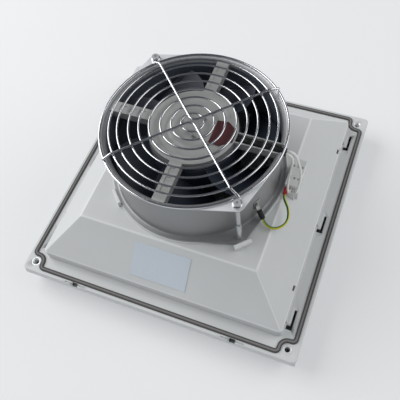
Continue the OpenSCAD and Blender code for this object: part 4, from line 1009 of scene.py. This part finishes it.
# %% Rings and spokes
RIM_RING, RIM_RING_Z, RIM_WIRE = 75.4, 126.0, 1.0
RING_Z, RING_WIRE, SPOKE_Z, SPOKE_WIRE = 129.0, 0.9, 130.95, 1.05
RING_SHARES = (0.119, 0.228, 0.342, 0.463, 0.573, 0.682, 0.801, 0.892)
EYE, EYE_Z, BEND_Y, BEND_R, WIRE_GAP, GUARD_SIDES = 3.15, 126.05, 6.7, 5.0, 0.1, 14


def ring_of_wire(radius, z, thickness):
    """A circle of wire round the axis, with its own radius as its thickness."""
    a = np.radians(np.arange(0, 360, 2.5))
    path = np.stack([radius * np.cos(a), radius * np.sin(a), z + 0 * a], -1)
    return skin(tube(path, thickness, (0, 0, 1), GUARD_SIDES, closed=True), round_rows=True)


def bent_wire(corners_of_path, window=1.3, step=0.4):
    """Walks a path in equal steps and averages it over a window, both in millimetres."""
    route = np.array(corners_of_path, float)
    run = np.concatenate([[0], np.cumsum(np.linalg.norm(np.diff(route, axis=0), axis=1))])
    count = int(run[-1] / step) + 1
    places = np.linspace(0, run[-1], count)
    reach = np.minimum(np.minimum(places, run[-1] - places), window)
    parts = [
        np.stack([np.interp(places + share * reach, run, route[:, k]) for k in range(3)], -1)
        for share in np.linspace(-1, 1, 9)
    ]
    return np.mean(parts, 0)


def spoke():
    """Corners of a spoke: from the rim ring across the guard and its bend, round the rim, the eye."""
    last = RIM_RING * RING_SHARES[-1]
    wrap = RIM_WIRE + SPOKE_WIRE + WIRE_GAP
    off = (BEND_Y - BEND_R * math.sqrt(2)) / math.sqrt(2)
    drop = last + 2 * SPOKE_WIRE

    def at(side, along_spoke, sideways, z):
        """A point on the spoke's diagonal, on one side of the middle or the other."""
        return (side * (along_spoke - sideways) / math.sqrt(2), (along_spoke + sideways) / math.sqrt(2), z)

    bend = [(p[0], p[1], SPOKE_Z) for p in arc(0, BEND_Y, BEND_R, -45, -135, 10)]
    dip = [at(-1, p[0], -EYE, max(p[1], EYE_Z)) for p in arc(RIM_RING, RIM_RING_Z, wrap, 90, 0, 6)]
    eye = [at(-1, p[0], p[1], EYE_Z) for p in arc(EAR_CIRCLE, 0, EYE, -90, 180, 20)]
    rest = RIM_RING_Z + wrap
    start = [
        at(1, RIM_RING + SPOKE_WIRE, off, rest), at(1, RIM_RING, off, rest), at(1, drop, off, SPOKE_Z),
        at(1, last / 2, off, SPOKE_Z),
    ]
    return start + bend + [at(-1, last / 2, off, SPOKE_Z), at(-1, drop, off, SPOKE_Z)] + dip + eye


rings = [ring_of_wire(RIM_RING * share, RING_Z, RING_WIRE) for share in RING_SHARES]
rings.append(ring_of_wire(RIM_RING, RIM_RING_Z, RIM_WIRE))
piece("guard_rings_wire", rings, chrome_finish, ["guard_rings"], smooth=60)
spoke_grid = tube(bent_wire(spoke()), SPOKE_WIRE, (0, 0, 1), GUARD_SIDES)
spoke_solid = skin(spoke_grid, capped=True)
spokes = [spoke_solid, turned(spoke_solid, 180)]
piece("guard_spokes_wire", spokes, chrome_finish, ["guard_spokes"], smooth=60)

# %% [markdown]
# ## The impeller
# Seven wide blades are moulded round a hub ring, near black and slightly glossy. Each blade twists
# from its lower to its upper edge and sweeps back towards its tip, and is thickest in the middle of
# its chord. A blade is a grid: rows go from root to tip, and each row is a closed section whose
# point at level v lies at angle sweep * s^2 - turn * v, half the thickness to either side. A bent
# plane with Solidify would be equally thick everywhere, which a moulded blade isn't.

# %% Blades and hub
BLADES, ROOT_R, TIP_R, BLADE_LOW, BLADE_HIGH = 7, 36.9, 68.5, 81.9, 115.1
SWEEP, TURN, THICK = 14.0, 55.0, 1.5
HUB_R, HUB_OUT, HUB_LOW, HUB_HIGH = 36.02, 37.42, 81.4, 115.4


def blade(angle):
    """One blade as a closed surface from root to tip."""
    v = (1 - np.cos(np.linspace(0, np.pi, 25))) / 2
    half = THICK / 2 * (1 - (2 * v - 1) ** 4) ** 0.5
    level = np.concatenate([v, v[-2:0:-1]])
    side = np.concatenate([half, -half[-2:0:-1]])
    s = np.linspace(0, 1, 14)[:, None]
    r = ROOT_R + (TIP_R - ROOT_R) * s
    a = np.radians(SWEEP * s**2 - TURN * level) + side / r + math.radians(angle)
    z = BLADE_LOW + (BLADE_HIGH - BLADE_LOW) * level + 0 * s
    return skin(np.stack([r * np.cos(a), r * np.sin(a), z], -1), capped=True)


hub = [
    (HUB_R, HUB_LOW), (HUB_OUT - BREAK, HUB_LOW), (HUB_OUT, HUB_LOW + BREAK),
    (HUB_OUT, HUB_HIGH - BREAK), (HUB_OUT - BREAK, HUB_HIGH), (HUB_R, HUB_HIGH),
]
blades = [blade(360 * k / BLADES) for k in range(BLADES)]
piece(
    "impeller_moulding", blades + [revolved(hub)], blade_finish, ["impeller"],
    body="rotor", smooth=50,
)

# %% [markdown]
# ## The filter mat
# Behind the louvres lies a pad of white polyester fleece. Its faces are soft and a little uneven, so
# both are pressed in by slow waves, and its edge is rounded by handling. The pad is cut stiff
# and held flat by its grid, so a cloth simulation would add folds that it doesn't have.

# %% Fleece pad
MAT_EASE, MAT_CORNER, MAT_WAVE = 0.05, 3, 0.4
mat_low, mat_high = (np.array(corner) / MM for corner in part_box("filter_mat"))
mat_half = min(mat_high[0], mat_high[1]) - MAT_EASE
low_z, high_z = mat_low[2], mat_high[2]


def quilt(x, y):
    """Waves from -1 to 0 across a face."""
    wave = np.sin(x / 5.3 + 1.7 * np.sin(y / 9.1)) * np.cos(y / 6.1 + 1.3 * np.sin(x / 7.7))
    return (wave - 1) / 2


# Each loop's share of the half width, and how far it lies inside the face
shares = np.concatenate([np.linspace(0.02, 0.96, 34), [0.985, 0.996, 1.0]])
inset = np.concatenate([np.zeros(35), [0.35, 1.3]])
half_rows = shares * mat_half
lower_rows = [(half, low_z + drop) for half, drop in zip(half_rows, inset)]
upper_rows = [(half, high_z - drop) for half, drop in zip(half_rows, inset)][::-1]
mat_loops = np.array([square_loop(half, min(MAT_CORNER, half / 2)) for half, z in lower_rows + upper_rows])
mat_z = np.array([z for half, z in lower_rows + upper_rows])[:, None] + 0 * mat_loops
mat_x, mat_y = mat_loops * np.cos(angles), mat_loops * np.sin(angles)
face = np.where(mat_z > (low_z + high_z) / 2, 1.0, -1.0)
fleece_grid = np.stack([mat_x, mat_y, mat_z + face * MAT_WAVE * quilt(mat_x, mat_y)], -1)
fleece = [skin(fleece_grid, capped=True)]
piece("fleece_pad", fleece, fleece_finish, ["filter_mat"], smooth=60)
